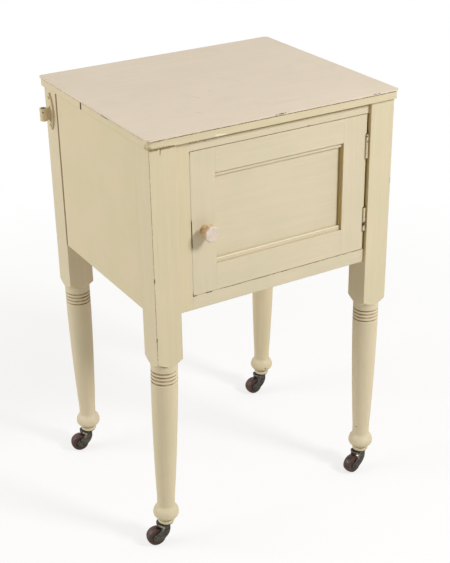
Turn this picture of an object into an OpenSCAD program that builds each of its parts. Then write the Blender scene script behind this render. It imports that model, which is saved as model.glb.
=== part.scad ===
// Bedside pot cupboard on four turned legs with castors.
// Millimetres. The cupboard stands on Z = 0 and its door faces -Y.
// Heights are counted from the floor, widths and depths from the middle of the body,
// and place() moves the whole piece so that the origin is under the middle of its bounding box.

/* [Body] */
// Floor to top of the covering sheet
overall_height = 757; // [720:1:800]
// Across the outside of the posts
body_width = 458; // [420:1:500]
// Front of the front posts to back of the rear posts
body_depth = 387; // [350:1:430]
// Side of a square post
post_side = 46; // [43:1:50]
// Height of the underside of the front bottom rail
body_foot = 452; // [430:1:480]
// Height at which the square posts are turned down to the round legs
square_foot = 372; // [350:1:400]
// Thickness of a side board
side_thick = 16; // [12:1:20]
// How far the side boards stop above the underside of the front rail
side_lift = 4.5; // [2:0.5:10]
// Open joint between each side board and its rear post
shrink_gap = 4.5; // [1:0.5:6]
// Thickness of the tongues on boards and rails
tongue_thick = 6; // [4:0.5:8]
// Depth of the tongues
tongue_depth = 8; // [5:0.5:11]
// Thickness of the back board
back_thick = 8; // [6:0.5:10]
// How far the back board is let in behind the rear post faces
back_inset = 13; // [8:1:16]
// Height of the rear top rail
rear_rail_height = 26; // [18:1:36]
// Thickness of the rear rails
rear_rail_thick = 18; // [14:1:20]

/* [Front frame] */
// Front frame set back from the face of the posts
front_recess = 5.6; // [3:0.2:9]
// Thickness of the front rails and the closing stile
frame_thick = 20; // [17:0.5:24]
// Width of the closing stile
closing_width = 25; // [18:1:34]
// Height of the front top rail
top_rail_height = 19; // [14:1:26]
// Height of the front bottom rail
bottom_rail_height = 24; // [20:1:30]
// Shoulder above and below the tenons of the top rails
top_shoulder = 4; // [2:0.5:6]
// Shoulder above and below the tenons of the front bottom rail
bottom_shoulder = 5; // [3:0.5:7]
// Shoulder above and below the tenons of the rear bottom rail
rear_shoulder = 3; // [1.5:0.5:5]

/* [Top] */
// Thickness of the top board
board_thick = 13.3; // [11:0.1:18]
// Thickness of the covering sheet
sheet_thick = 3; // [2:0.5:5]
// Sheet beyond the board all round
sheet_lip = 1.8; // [0.5:0.1:2.5]
// Board beyond the side posts
side_overhang = 3.4; // [2:0.2:6]
// Board beyond the front posts
front_overhang = 5.2; // [3:0.2:10]
// Board beyond the rear posts
back_overhang = 9; // [4:0.5:16]
// Radius of the rounded corners of the top
corner_radius = 5; // [3:1:12]

/* [Inside] */
// Thickness of the floor board
floor_thick = 12; // [9:0.5:16]
// How far the floor board stands up behind the door as its stop
floor_stop = 6; // [4:0.5:9]
// Width of the bearers and cleats
cleat_width = 20; // [14:1:26]
// Height of the top cleats
cleat_height = 20; // [14:1:26]
// Thickness of the stop strip behind the top rail
stop_thick = 10; // [7:0.5:14]
// How far the stop strip hangs below the top rail
stop_drop = 8; // [5:0.5:12]

/* [Door] */
// Gap above and below the door
door_gap = 1; // [0.8:0.1:1.5]
// Gap between the door and the closing stile
free_gap = 1.2; // [1:0.1:2]
// Gap between the door and the hinge post
hinge_gap = 4.2; // [4:0.1:5]
// Gap between the back of the door and its stops
stop_gap = 0.3; // [0.2:0.1:0.5]
// Width of the door stile that carries the knob
lock_stile_width = 44; // [38:1:54]
// Width of the door stile that carries the hinges
hinge_stile_width = 46; // [38:1:54]
// Height of the door top rail
door_top_height = 42; // [34:1:50]
// Height of the door bottom rail
door_bottom_height = 46; // [38:1:54]
// Length of the tenons on the door rails
door_tenon = 28; // [20:1:32]
// Shoulder above and below each door tenon
tenon_shoulder = 9; // [7:0.5:12]
// Thickness of the door panel
panel_thick = 6; // [5:0.5:7]
// Panel set back from the face of the door
panel_setback = 9; // [7:0.5:10]
// How far the panel runs into its grooves
panel_tongue = 8; // [5:0.5:10]
// Height of the mouldings above and below the panel
moulding_height = 7.6; // [6:0.2:10]
// Width of the mouldings up the sides of the panel
moulding_side = 2.4; // [2:0.1:4]
// Thickness of the mouldings
moulding_thick = 4.7; // [3.5:0.1:5.5]
// Radius of the rounded edge of the mouldings
moulding_round = 1; // [0.6:0.1:1.6]

/* [Hinges] */
// Length of a butt hinge
hinge_length = 42; // [36:1:50]
// Middle of each hinge from the near end of the door
hinge_inset = 56; // [44:1:66]
// Outside diameter of the knuckles
knuckle_dia = 4.2; // [4:0.1:5.2]
// Diameter of the hinge pins
hinge_pin_dia = 2.2; // [1.8:0.1:2.6]
// Thickness of a hinge leaf
leaf_thick = 1.6; // [1.2:0.1:1.8]
// Width of a hinge leaf from the pin
leaf_width = 15; // [12:0.5:17]
// Pin in front of the face of the door
pin_stand = 1.2; // [1:0.1:1.6]
// Air between the knuckles and the hinge post
knuckle_air = 1.8; // [0.8:0.1:2.2]

/* [Knob and catch] */
// Width of the knob across its upright sides
knob_across = 23.4; // [21:0.2:27]
// Height of the knob from its lower to its upper side
knob_tall = 26.2; // [23:0.2:29]
// Face of the knob in front of the door
knob_stand = 25; // [22:0.5:30]
// Length of the knob's eight sided head
knob_head = 13; // [10:0.5:15]
// Bevel round the face of the knob
knob_bevel = 1.2; // [0.6:0.1:2]
// Diameter of the knob's neck
knob_neck = 11; // [10:0.5:14]
// Knob axis from the free edge of the door
knob_edge = 22.6; // [18:0.2:26]
// Knob axis above the bottom of the door
knob_height = 111; // [100:1:140]
// Diameter of the rose behind the knob
rose_dia = 15; // [14:0.5:20]
// Thickness of the rose
rose_thick = 1.2; // [0.8:0.1:2]
// Diameter of the spindle
spindle_dia = 6.4; // [5:0.2:7.4]
// Width of the catch tongue
catch_width = 14; // [12:0.5:16]
// Catch tongue behind the closing stile when it is turned to hold
catch_hold = 12; // [8:0.5:15]
// Thickness of the catch tongue
catch_thick = 3; // [2:0.5:4]

/* [Turned legs] */
// Diameter of the neck under the square post
neck_dia = 45.4; // [41:0.2:45.6]
// Middle of the top ring groove below the shoulder
groove_drop = 13; // [9:0.5:16]
// Distance from groove to groove
groove_pitch = 6.6; // [5:0.1:8]
// Number of ring grooves
groove_count = 4; // [2:1:5]
// Width of a ring groove
groove_width = 3.2; // [1.6:0.1:3.6]
// Start of the swelling shaft below the last ring groove
shaft_drop = 15; // [4:0.5:40]
// Height of the narrow ankle
ankle_height = 94; // [90:1:104]
// Diameter of the ankle
ankle_dia = 31; // [28:0.2:34]
// How far the shaft bulges beyond a straight taper
shaft_swell = 1.1; // [0.4:0.1:2]
// Diameter of the ball foot
ball_dia = 45; // [40:0.5:48]
// Height of the middle of the ball foot
ball_height = 63.4; // [62.6:0.2:66]
// Rise of the ball's upper curve above its middle, were it carried on to a point
ball_rise = 20.6; // [18:0.2:22.4]
// Fall of the ball's lower curve below its middle, were it carried on to a point
ball_fall = 13.8; // [12:0.2:14.4]
// Diameter of the collar under the ball
collar_dia = 29; // [27:0.2:31]
// Height of the groove between ball and collar
collar_groove = 1.6; // [1:0.1:2]
// Sideways drift of the front left foot
drift_front_left = -8.5; // [-9:0.5:2]
// Sideways drift of the front right foot
drift_front_right = 1; // [-3:0.5:3]
// Sideways drift of the rear left foot
drift_rear_left = 1.5; // [-3:0.5:3]
// Sideways drift of the rear right foot
drift_rear_right = -5; // [-7:0.5:2]

/* [Castors] */
// Floor to underside of the leg
castor_height = 44.4; // [43.4:0.2:45.4]
// Diameter of the wheel
wheel_dia = 34; // [30:0.5:35]
// Width of the wheel
wheel_width = 15; // [12:0.5:17]
// How much the tread is crowned
wheel_crown = 1.4; // [0.8:0.2:3]
// Air on each side of the wheel
wheel_air = 0.6; // [0.4:0.1:1]
// Wheel axle behind the swivel axis
trail = 20.5; // [19.5:0.5:23]
// Diameter of the axle
axle_dia = 5; // [4:0.2:6]
// Thickness of a cheek of the horn
cheek_thick = 2.6; // [2:0.1:3.4]
// Radius of the cheek round the axle
cheek_eye = 7; // [6:0.5:8.5]
// Thickness of the crown of the horn
crown_thick = 3.6; // [3:0.1:3.8]
// Diameter of the swivel pintle
pintle_dia = 8; // [6:0.5:9]
// Length of the swivel pintle
pintle_length = 24; // [18:1:26]
// Diameter of the socket flange
flange_dia = 25; // [22:0.5:27]
// Thickness of the socket flange
flange_thick = 2.4; // [1.6:0.1:2.8]
// Outside diameter of the socket tube
socket_dia = 12.6; // [11.5:0.1:14]
// Resting swing of the front left castor
swing_front_left = -9; // [-180:1:180]
// Resting swing of the front right castor
swing_front_right = 9; // [-180:1:180]
// Resting swing of the rear left castor
swing_rear_left = -8; // [-180:1:180]
// Resting swing of the rear right castor
swing_rear_right = 0; // [-180:1:180]

/* [Pole bracket] */
// Length of the leaf shaped plate
plate_length = 66; // [58:1:72]
// Width of the leaf shaped plate
plate_width = 24; // [20:0.5:28]
// Thickness of the plate
plate_thick = 3.2; // [2.4:0.1:4]
// Middle of the plate below the underside of the top
plate_drop = 39.7; // [36:0.1:60]
// Outside diameter of the pole socket
boss_dia = 13.4; // [12.4:0.2:16]
// Length of the pole socket
boss_length = 22; // [19:0.2:28]
// Middle of the socket below the middle of the plate
boss_drop = 3; // [0:0.2:5]
// Axis of the socket from the face of the post
boss_stand = 14.5; // [13:0.1:18]
// Bore of the pole socket
pole_bore = 7.6; // [6:0.2:9]
// Radius of the hollows between socket and plate
bracket_fillet = 7; // [4:0.5:8]

/* [Fits] */
// Running clearance on a radius, for pins, axles and the spindle
running = 0.05; // [0.02:0.01:0.1]
// Air between neighbours that move past each other
moving_air = 0.3; // [0.2:0.05:0.4]
// Seat clearance round turned and cast pieces
seat = 0.1; // [0.05:0.05:0.2]
// Bottom clearance of grooves, mortises and sockets
bottom_air = 0.4; // [0.2:0.1:0.8]

/* [Hidden] */
$fn = 96;

// Body planes
half_width = body_width / 2;
half_depth = body_depth / 2;
inner_x = half_width - post_side;
inner_y = half_depth - post_side;
leg_x = half_width - post_side / 2;
leg_y = half_depth - post_side / 2;
body_top = overall_height - sheet_thick - board_thick;
side_foot = body_foot + side_lift;
side_inner_x = half_width - side_thick;
tongue_x = half_width - side_thick / 2;
groove_depth = tongue_depth + bottom_air;

// Front frame planes
front_y = -half_depth + front_recess;
frame_back_y = front_y + frame_thick;
frame_mid_y = front_y + frame_thick / 2;
stile_x = -inner_x + closing_width;
opening_foot = body_foot + bottom_rail_height;
opening_top = body_top - top_rail_height;

// Back planes
back_outer_y = half_depth - back_inset;
back_inner_y = back_outer_y - back_thick;
rear_rail_y = back_inner_y - rear_rail_thick;
rear_rail_mid_y = back_inner_y - rear_rail_thick / 2;

// Floor
floor_top = opening_foot + floor_stop;
floor_foot = floor_top - floor_thick;

// Door box
door_left = stile_x + free_gap;
door_right = inner_x - hinge_gap;
door_foot = opening_foot + door_gap;
door_top = opening_top - door_gap;
door_thick = frame_thick - stop_gap;
door_back_y = front_y + door_thick;
panel_left = door_left + lock_stile_width;
panel_right = door_right - hinge_stile_width;
panel_foot = door_foot + door_bottom_height;
panel_top = door_top - door_top_height;
panel_front_y = front_y + panel_setback;
panel_groove = panel_tongue + bottom_air;

// Hinges: the pin stands in the gap, in front of the door and clear of the post
knuckle_r = knuckle_dia / 2;
hinge_x = inner_x - knuckle_air - knuckle_r;
hinge_y = front_y - pin_stand;
hinge_upper_z = door_top - hinge_inset;
hinge_lower_z = door_foot + hinge_inset;
knuckle_count = 5;
knuckle_pitch = hinge_length / knuckle_count;
pin_head = 1;
knuckle_relief = hinge_length / 2 + seat + pin_head + moving_air;

// Knob and catch
knob_x = door_left + knob_edge;
knob_z = door_foot + knob_height;
catch_y = frame_back_y + moving_air;
catch_length = knob_x - stile_x + catch_hold;
knob_slant = (knob_across + knob_tall) / 2;
knob_back_bevel = 3;

// Turned legs
shoulder_corner_r = post_side / 2 * sqrt(2);
neck_r = neck_dia / 2;
shoulder_drop = shoulder_corner_r - neck_r;
shoulder_foot = square_foot - shoulder_drop;
groove_top = shoulder_foot - groove_drop;
shaft_top = groove_top - (groove_count - 1) * groove_pitch - shaft_drop;
ankle_r = ankle_dia / 2;
ball_r = ball_dia / 2;
swell_steps = 14;
collar_r = collar_dia / 2;
collar_round = 1.4;
collar_depth = 2.2;
ball_join = 36;
ball_join_point = [ball_r * cos(ball_join), ball_height + ball_rise * sin(ball_join)];
hollow_apex = [ankle_r,
    ball_join_point[1] + ball_rise * cos(ball_join) * (ball_join_point[0] - ankle_r) / ball_r / sin(ball_join)];
hollow_top = [ankle_r, 2 * hollow_apex[1] - ball_join_point[1]];
ball_end = acos((collar_r + 0.4) / ball_r);
ball_foot = ball_height - ball_fall * sin(ball_end);

// Castors
wheel_r = wheel_dia / 2;
axle_r = axle_dia / 2;
pintle_r = pintle_dia / 2;
flange_foot = castor_height - flange_thick;
crown_top = flange_foot - moving_air;
crown_foot = crown_top - crown_thick;
cheek_in = wheel_width / 2 + wheel_air;
cheek_out = cheek_in + cheek_thick;
socket_cap = 2;
socket_length = pintle_length + bottom_air + socket_cap;
tread_r = (pow(wheel_width / 2, 2) + pow(wheel_crown, 2)) / (2 * wheel_crown);
horn_mid = [-trail - 1.5, crown_foot - 3];
horn_r = horn_mid[1] - wheel_r + cheek_eye + 0.2;
horn_front = horn_mid[0] + horn_r;
scoop_mid = [horn_mid[0] - 3, horn_mid[1] + 4];
scoop_r = 14;
crown_nose = pintle_r + 2.5;
crown_tail = 18.5;
crown_round = 15;

// Feet, as offsets from the middle of the body
foot_front_left = [-leg_x + drift_front_left, -leg_y];
foot_front_right = [leg_x + drift_front_right, -leg_y];
foot_rear_left = [-leg_x + drift_rear_left, leg_y];
foot_rear_right = [leg_x + drift_rear_right, leg_y];

// Pole bracket
plate_height = body_top - plate_drop;
boss_x = -half_width - boss_stand;
boss_r = boss_dia / 2;
boss_foot = plate_height - boss_drop - boss_length / 2;

// Origin: under the middle of the bounding box
reach_left = min(boss_x - boss_r, -half_width - side_overhang - sheet_lip);
reach_right = half_width + side_overhang + sheet_lip;
reach_front = min(front_y - knob_stand, -half_depth - front_overhang - sheet_lip);
reach_back = half_depth + back_overhang + sheet_lip;
origin_x = (reach_left + reach_right) / 2;
origin_y = (reach_front + reach_back) / 2;

// Points of an arc in a profile
function arc(centre, radius, first, last, steps) = [for (i = [0 : steps])
    let (angle = first + (last - first) * i / steps)
    [centre[0] + radius * cos(angle), centre[1] + radius * sin(angle)]];

// Points of an upright ellipse in a profile, counted down from the angle first to the angle last
function oval(centre, wide, tall, first, last, steps) = [for (i = [0 : steps])
    let (angle = first + (last - first) * i / steps)
    [centre[0] + wide * cos(angle), centre[1] + tall * sin(angle)]];

// Points of a hollow that leaves a and reaches c, both pointing at b
function hollow(a, b, c, steps) = [for (i = [0 : steps])
    let (t = i / steps)
    (1 - t) * (1 - t) * a + 2 * t * (1 - t) * b + t * t * c];

// Radius of the swelling shaft at a share t of the way from its top to the ankle
function shaft_radius(t) = neck_r + (ankle_r - neck_r) * t + 4 * shaft_swell * t * (1 - t);

module place() {
    translate([-origin_x, -origin_y, 0])
        children();
}

// A board given by its low and high corners
module board(low, high) {
    translate(low)
        cube(high - low);
}

// ---------------------------------------------------------------- top

module rounded_plate(low, high, radius, thick) {
    size = high - low;
    translate([low[0], low[1], 0])
        linear_extrude(thick)
            union() {
                translate([radius, 0])
                    square([size[0] - 2 * radius, size[1]]);
                translate([0, radius])
                    square([size[0], size[1] - 2 * radius]);
                for (x = [radius, size[0] - radius])
                    for (y = [radius, size[1] - radius])
                        translate([x, y])
                            circle(r = radius);
            }
}

module top_plate(grow, thick) {
    rounded_plate(
        [-half_width - side_overhang - grow, -half_depth - front_overhang - grow],
        [half_width + side_overhang + grow, half_depth + back_overhang + grow],
        corner_radius + grow, thick);
}

module top_sheet() {
    color("#decfba")
        place()
            translate([0, 0, overall_height - sheet_thick])
                top_plate(sheet_lip, sheet_thick);
}

module top_board() {
    color("#dacda8")
        place()
            translate([0, 0, body_top])
                top_plate(0, board_thick);
}

// ---------------------------------------------------------------- legs

// Square post, its lower corners turned away to a cone that runs on into the neck
module square_post() {
    sunk = 3;
    intersection() {
        translate([-post_side / 2, -post_side / 2, shoulder_foot - sunk - 1])
            cube([post_side, post_side, body_top - shoulder_foot + sunk + 1]);
        rotate_extrude()
            polygon([
                [0, shoulder_foot - sunk],
                [neck_r - sunk, shoulder_foot - sunk],
                [shoulder_corner_r + 1, square_foot + 1],
                [shoulder_corner_r + 1, body_top + 1],
                [0, body_top + 1]]);
    }
}

// The turned work in one profile: neck with ring grooves, swelling shaft, hollow ankle, ball and collar
module turned_leg() {
    grooves = [for (i = [0 : groove_count - 1])
        arc([neck_r, groove_top - i * groove_pitch], groove_width / 2, 90, 270, 8)];
    swell = [for (i = [0 : swell_steps])
        let (t = i / swell_steps)
        [shaft_radius(t), shaft_top + (ankle_height - shaft_top) * t]];
    ankle = hollow(hollow_top, hollow_apex, ball_join_point, 7);
    upper = oval([0, ball_height], ball_r, ball_rise, ball_join, 0, 10);
    lower = oval([0, ball_height], ball_r, ball_fall, 0, -ball_end, 12);
    foot = arc([collar_r - collar_round, castor_height + collar_round], collar_round, 0, -60, 5);
    rotate_extrude()
        polygon(concat(
            [[0, shoulder_foot + 4], [neck_r - 3, shoulder_foot + 4], [neck_r, shoulder_foot + 1]],
            [for (groove = grooves) each groove],
            swell,
            ankle,
            [for (i = [1 : len(upper) - 1]) upper[i]],
            [for (i = [1 : len(lower) - 1]) lower[i]],
            [[collar_r - collar_depth, ball_foot - 0.4],
            [collar_r - collar_depth, ball_foot - collar_groove],
            [collar_r - 0.8, ball_foot - collar_groove - 0.3],
            [collar_r, ball_foot - collar_groove - 1.1]],
            foot,
            [[collar_r - collar_round, castor_height - 1], [0, castor_height - 1]]));
}

// A whole leg about its own post axis; the turned work leans so that the foot stands at its drift
module leg(drift) {
    difference() {
        union() {
            square_post();
            translate([0, 0, shoulder_foot])
                rotate([0, -atan2(drift, shoulder_foot - ball_height), 0])
                    translate([0, 0, -shoulder_foot])
                        turned_leg();
        }
        translate([-post_side - 10, -post_side, 0])
            cube([2 * post_side + 20, 2 * post_side, castor_height]);
        translate([drift, 0, castor_height - 1])
            cylinder(r = socket_dia / 2 + seat, h = socket_length - flange_thick + bottom_air + 1);
    }
}

// Groove for the tongue of a side board, cut into the post face that looks along Y
module side_groove(side, rear) {
    low_y = rear ? inner_y - 1 : -inner_y - groove_depth;
    board(
        [side * tongue_x - tongue_thick / 2, low_y, side_foot],
        [side * tongue_x + tongue_thick / 2, low_y + groove_depth + 1, body_top + 1]);
}

// Mortise for a rail tenon, cut into the post face that looks along X
module post_mortise(side, y, foot, top) {
    low_x = side > 0 ? inner_x - 1 : -inner_x - groove_depth;
    board(
        [low_x, y - tongue_thick / 2, foot],
        [low_x + groove_depth + 1, y + tongue_thick / 2, top]);
}

module rear_post_cuts(side) {
    side_groove(side, true);
    low_x = side > 0 ? inner_x - 1 : -inner_x - groove_depth;
    board(
        [low_x, back_inner_y, side_foot],
        [low_x + groove_depth + 1, back_outer_y, body_top + 1]);
    post_mortise(side, rear_rail_mid_y, side_foot + rear_shoulder, floor_foot - rear_shoulder);
    post_mortise(
        side, rear_rail_mid_y, body_top - rear_rail_height + top_shoulder, body_top - top_shoulder);
}

module leg_front_left() {
    color("#d8cba4")
        place()
            difference() {
                translate([-leg_x, -leg_y, 0])
                    leg(drift_front_left);
                side_groove(-1, false);
            }
}

module leg_front_right() {
    color("#d8cba4")
        place()
            difference() {
                translate([leg_x, -leg_y, 0])
                    leg(drift_front_right);
                side_groove(1, false);
                post_mortise(1, frame_mid_y, body_foot + bottom_shoulder, opening_foot - bottom_shoulder);
                post_mortise(1, frame_mid_y, opening_top + top_shoulder, body_top - top_shoulder);
            }
}

module leg_rear_left() {
    color("#d3c69e")
        place()
            difference() {
                translate([-leg_x, leg_y, 0])
                    leg(drift_rear_left);
                rear_post_cuts(-1);
            }
}

module leg_rear_right() {
    color("#d3c69e")
        place()
            difference() {
                translate([leg_x, leg_y, 0])
                    leg(drift_rear_right);
                rear_post_cuts(1);
            }
}

// ---------------------------------------------------------------- boards and rails

module side_panel(side) {
    outer = side * half_width;
    inner = side * side_inner_x;
    union() {
        board(
            [min(outer, inner), -inner_y, side_foot],
            [max(outer, inner), inner_y - shrink_gap, body_top]);
        board(
            [side * tongue_x - tongue_thick / 2, -inner_y - tongue_depth, side_foot],
            [side * tongue_x + tongue_thick / 2, inner_y + tongue_depth, body_top]);
    }
}

module side_panel_left() {
    color("#d3c7a5")
        place()
            side_panel(-1);
}

module side_panel_right() {
    color("#d3c7a5")
        place()
            side_panel(1);
}

module back_panel() {
    color("#c4ad84")
        place()
            board(
                [-inner_x - tongue_depth, back_inner_y, side_foot],
                [inner_x + tongue_depth, back_outer_y, body_top]);
}

// Floor board, its four corners notched round the posts
module floor_board() {
    color("#c9b48a")
        place()
            difference() {
                board(
                    [-side_inner_x, frame_back_y, floor_foot],
                    [side_inner_x, back_inner_y, floor_top]);
                for (side = [-1, 1]) {
                    low_x = side > 0 ? inner_x : -side_inner_x - 1;
                    board(
                        [low_x, frame_back_y - 1, floor_foot - 1],
                        [low_x + side_inner_x - inner_x + 1, -inner_y, floor_top + 1]);
                    board(
                        [low_x, inner_y, floor_foot - 1],
                        [low_x + side_inner_x - inner_x + 1, back_inner_y + 1, floor_top + 1]);
                }
            }
}

// Rail between the closing stile and the hinge post, with a tenon into each
module front_rail(foot, top, shoulder) {
    board([stile_x, front_y, foot], [inner_x, frame_back_y, top]);
    board(
        [stile_x - tongue_depth, frame_mid_y - tongue_thick / 2, foot + shoulder],
        [inner_x + tongue_depth, frame_mid_y + tongue_thick / 2, top - shoulder]);
}

module front_top_rail() {
    color("#d8cba4")
        place()
            front_rail(opening_top, body_top, top_shoulder);
}

module front_bottom_rail() {
    color("#d8cba4")
        place()
            front_rail(body_foot, opening_foot, bottom_shoulder);
}

// Mortise for a front rail, cut into the closing stile
module stile_mortise(foot, top) {
    board(
        [stile_x - groove_depth, frame_mid_y - tongue_thick / 2, foot],
        [stile_x + 1, frame_mid_y + tongue_thick / 2, top]);
}

module closing_stile() {
    color("#d8cba4")
        place()
            difference() {
                board([-inner_x, front_y, body_foot], [stile_x, frame_back_y, body_top]);
                stile_mortise(body_foot + bottom_shoulder, opening_foot - bottom_shoulder);
                stile_mortise(opening_top + top_shoulder, body_top - top_shoulder);
            }
}

module rear_rail(foot, top, shoulder) {
    board([-inner_x, rear_rail_y, foot], [inner_x, back_inner_y, top]);
    board(
        [-inner_x - tongue_depth, rear_rail_mid_y - tongue_thick / 2, foot + shoulder],
        [inner_x + tongue_depth, rear_rail_mid_y + tongue_thick / 2, top - shoulder]);
}

module rear_top_rail() {
    color("#c9b48a")
        place()
            rear_rail(body_top - rear_rail_height, body_top, top_shoulder);
}

module rear_bottom_rail() {
    color("#c9b48a")
        place()
            rear_rail(side_foot, floor_foot, rear_shoulder);
}

module side_cleat(side, foot, top) {
    near = side * side_inner_x;
    far = side * (side_inner_x - cleat_width);
    board([min(near, far), -inner_y, foot], [max(near, far), inner_y, top]);
}

module floor_bearer_left() {
    color("#c9b48a")
        place()
            side_cleat(-1, side_foot, floor_foot);
}

module floor_bearer_right() {
    color("#c9b48a")
        place()
            side_cleat(1, side_foot, floor_foot);
}

module top_cleat_left() {
    color("#c9b48a")
        place()
            side_cleat(-1, body_top - cleat_height, body_top);
}

module top_cleat_right() {
    color("#c9b48a")
        place()
            side_cleat(1, body_top - cleat_height, body_top);
}

module door_stop() {
    color("#c9b48a")
        place()
            board(
                [stile_x, frame_back_y, opening_top - stop_drop],
                [inner_x, frame_back_y + stop_thick, body_top]);
}

// ---------------------------------------------------------------- pole bracket

// Leaf shaped plate, a short arm with hollows, and the upright socket for a pole
module pole_bracket() {
    leaf_r = (pow(plate_length / 2, 2) + pow(plate_width / 2, 2)) / plate_width;
    arm_foot = boss_foot + 1;
    arm_top = boss_foot + boss_length - 1;
    face_x = -half_width - plate_thick;
    color("#d6caa6")
        place()
            translate([0, leg_y, 0])
                difference() {
                    union() {
                        translate([-half_width, 0, plate_height])
                            rotate([0, -90, 0])
                                linear_extrude(plate_thick)
                                    intersection() {
                                        translate([0, leaf_r - plate_width / 2])
                                            circle(r = leaf_r);
                                        translate([0, -leaf_r + plate_width / 2])
                                            circle(r = leaf_r);
                                    }
                        translate([boss_x, 0, boss_foot])
                            cylinder(r = boss_r, h = boss_length);
                        translate([0, 0, arm_foot])
                            linear_extrude(arm_top - arm_foot)
                                difference() {
                                    translate([boss_x, -boss_r + 1])
                                        square([face_x - boss_x + 0.5, 2 * boss_r - 2]);
                                    for (s = [-1, 1])
                                        translate([face_x - bracket_fillet / 2, s * (boss_r - 0.5)])
                                            circle(r = bracket_fillet / 2 + 0.4);
                                }
                        for (s = [-1, 1])
                            translate([face_x, 3, s > 0 ? arm_top : arm_foot])
                                rotate([90, 0, 0])
                                    linear_extrude(6)
                                        difference() {
                                            translate([-bracket_fillet, s > 0 ? -1 : -bracket_fillet])
                                                square([bracket_fillet + 0.5, bracket_fillet + 1]);
                                            translate([-bracket_fillet, s * bracket_fillet])
                                                circle(r = bracket_fillet);
                                        }
                    }
                    translate([boss_x, 0, boss_foot - 1])
                        cylinder(r = pole_bore / 2, h = boss_length + 2);
                    translate([boss_x, 0, boss_foot + boss_length - 6])
                        rotate([90, 0, -30])
                            translate([0, 0, boss_r - 1.6])
                                cylinder(r = 1.3, h = 4);
                }
}

// ---------------------------------------------------------------- hinges

// One leaf about the pin axis, running along +Y; side is -1 for the door and 1 for the post
module hinge_leaf(side) {
    seat_x = side > 0 ? inner_x - hinge_x : door_right - hinge_x;
    own = side > 0 ? [0, 2, 4] : [1, 3];
    other = side > 0 ? [1, 3] : [0, 2, 4];
    difference() {
        union() {
            board(
                [seat_x - leaf_thick, 0, -hinge_length / 2],
                [seat_x, leaf_width, hinge_length / 2]);
            for (i = own)
                translate([0, 0, -hinge_length / 2 + i * knuckle_pitch])
                    knuckle(side, seat_x);
        }
        for (i = other)
            translate([0, 0, -hinge_length / 2 + i * knuckle_pitch - moving_air / 2])
                cylinder(r = knuckle_r + moving_air, h = knuckle_pitch + moving_air);
        translate([0, 0, -hinge_length / 2 - 1])
            cylinder(r = hinge_pin_dia / 2 + running, h = hinge_length + 2);
    }
}

// A knuckle rolled out of the leaf
module knuckle(side, seat_x) {
    foot = moving_air / 2;
    tall = knuckle_pitch - moving_air;
    translate([0, 0, foot])
        cylinder(r = knuckle_r, h = tall);
    near = side > 0 ? seat_x : seat_x - leaf_thick;
    board([min(0, near), -0.5, foot], [max(0, near), 0.5, foot + tall]);
}

module hinge_pin() {
    head_r = hinge_pin_dia / 2 + 0.6;
    translate([0, 0, -hinge_length / 2 - seat])
        cylinder(r = hinge_pin_dia / 2, h = hinge_length + 2 * seat);
    for (s = [-1, 1])
        translate([0, 0, s * (hinge_length / 2 + seat + pin_head / 2)])
            cylinder(r = head_r, h = pin_head, center = true);
}

module at_hinge(z) {
    translate([hinge_x, hinge_y, z])
        children();
}

module hinge_post_leaf_upper() {
    color("#d6caa6")
        place()
            at_hinge(hinge_upper_z)
                hinge_leaf(1);
}

module hinge_post_leaf_lower() {
    color("#d6caa6")
        place()
            at_hinge(hinge_lower_z)
                hinge_leaf(1);
}

module hinge_door_leaf_upper() {
    color("#d6caa6")
        place()
            at_hinge(hinge_upper_z)
                hinge_leaf(-1);
}

module hinge_door_leaf_lower() {
    color("#d6caa6")
        place()
            at_hinge(hinge_lower_z)
                hinge_leaf(-1);
}

module hinge_pin_upper() {
    color("#8d8f88")
        place()
            at_hinge(hinge_upper_z)
                hinge_pin();
}

module hinge_pin_lower() {
    color("#8d8f88")
        place()
            at_hinge(hinge_lower_z)
                hinge_pin();
}

// ---------------------------------------------------------------- door

// Space for the tenon of a door rail in a stile; the stile lies on the given side of edge_x
module door_mortise(edge_x, side, foot, top) {
    depth = door_tenon + bottom_air;
    board(
        [side < 0 ? edge_x - depth : edge_x - 1, panel_front_y, foot + tenon_shoulder],
        [side < 0 ? edge_x + 1 : edge_x + depth, panel_front_y + panel_thick, top - tenon_shoulder]);
}

module panel_slot() {
    board(
        [panel_left - panel_groove, panel_front_y, panel_foot - panel_groove],
        [panel_right + panel_groove, panel_front_y + panel_thick, panel_top + panel_groove]);
}

module door_lock_stile() {
    color("#dccfa9")
        place()
            difference() {
                board([door_left, front_y, door_foot], [panel_left, door_back_y, door_top]);
                panel_slot();
                door_mortise(panel_left, -1, door_foot, panel_foot);
                door_mortise(panel_left, -1, panel_top, door_top);
                translate([knob_x, front_y - 1, knob_z])
                    rotate([-90, 0, 0])
                        cylinder(r = spindle_dia / 2 + running, h = door_thick + 2);
            }
}

module door_hinge_stile() {
    color("#dccfa9")
        place()
            difference() {
                board([panel_right, front_y, door_foot], [door_right, door_back_y, door_top]);
                panel_slot();
                door_mortise(panel_right, 1, door_foot, panel_foot);
                door_mortise(panel_right, 1, panel_top, door_top);
                for (z = [hinge_upper_z, hinge_lower_z])
                    at_hinge(z) {
                        translate([0, 0, -knuckle_relief])
                            cylinder(r = knuckle_r + moving_air, h = 2 * knuckle_relief);
                        board(
                            [door_right - hinge_x - leaf_thick, -1, -hinge_length / 2],
                            [door_right - hinge_x + 1, leaf_width, hinge_length / 2]);
                    }
            }
}

module door_rail(foot, top) {
    board([panel_left, front_y, foot], [panel_right, door_back_y, top]);
    board(
        [panel_left - door_tenon, panel_front_y, foot + tenon_shoulder],
        [panel_right + door_tenon, panel_front_y + panel_thick, top - tenon_shoulder]);
}

module door_top_rail() {
    color("#dccfa9")
        place()
            difference() {
                door_rail(panel_top, door_top);
                board(
                    [panel_left - 1, panel_front_y, panel_top - 1],
                    [panel_right + 1, panel_front_y + panel_thick, panel_top + panel_groove]);
            }
}

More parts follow.
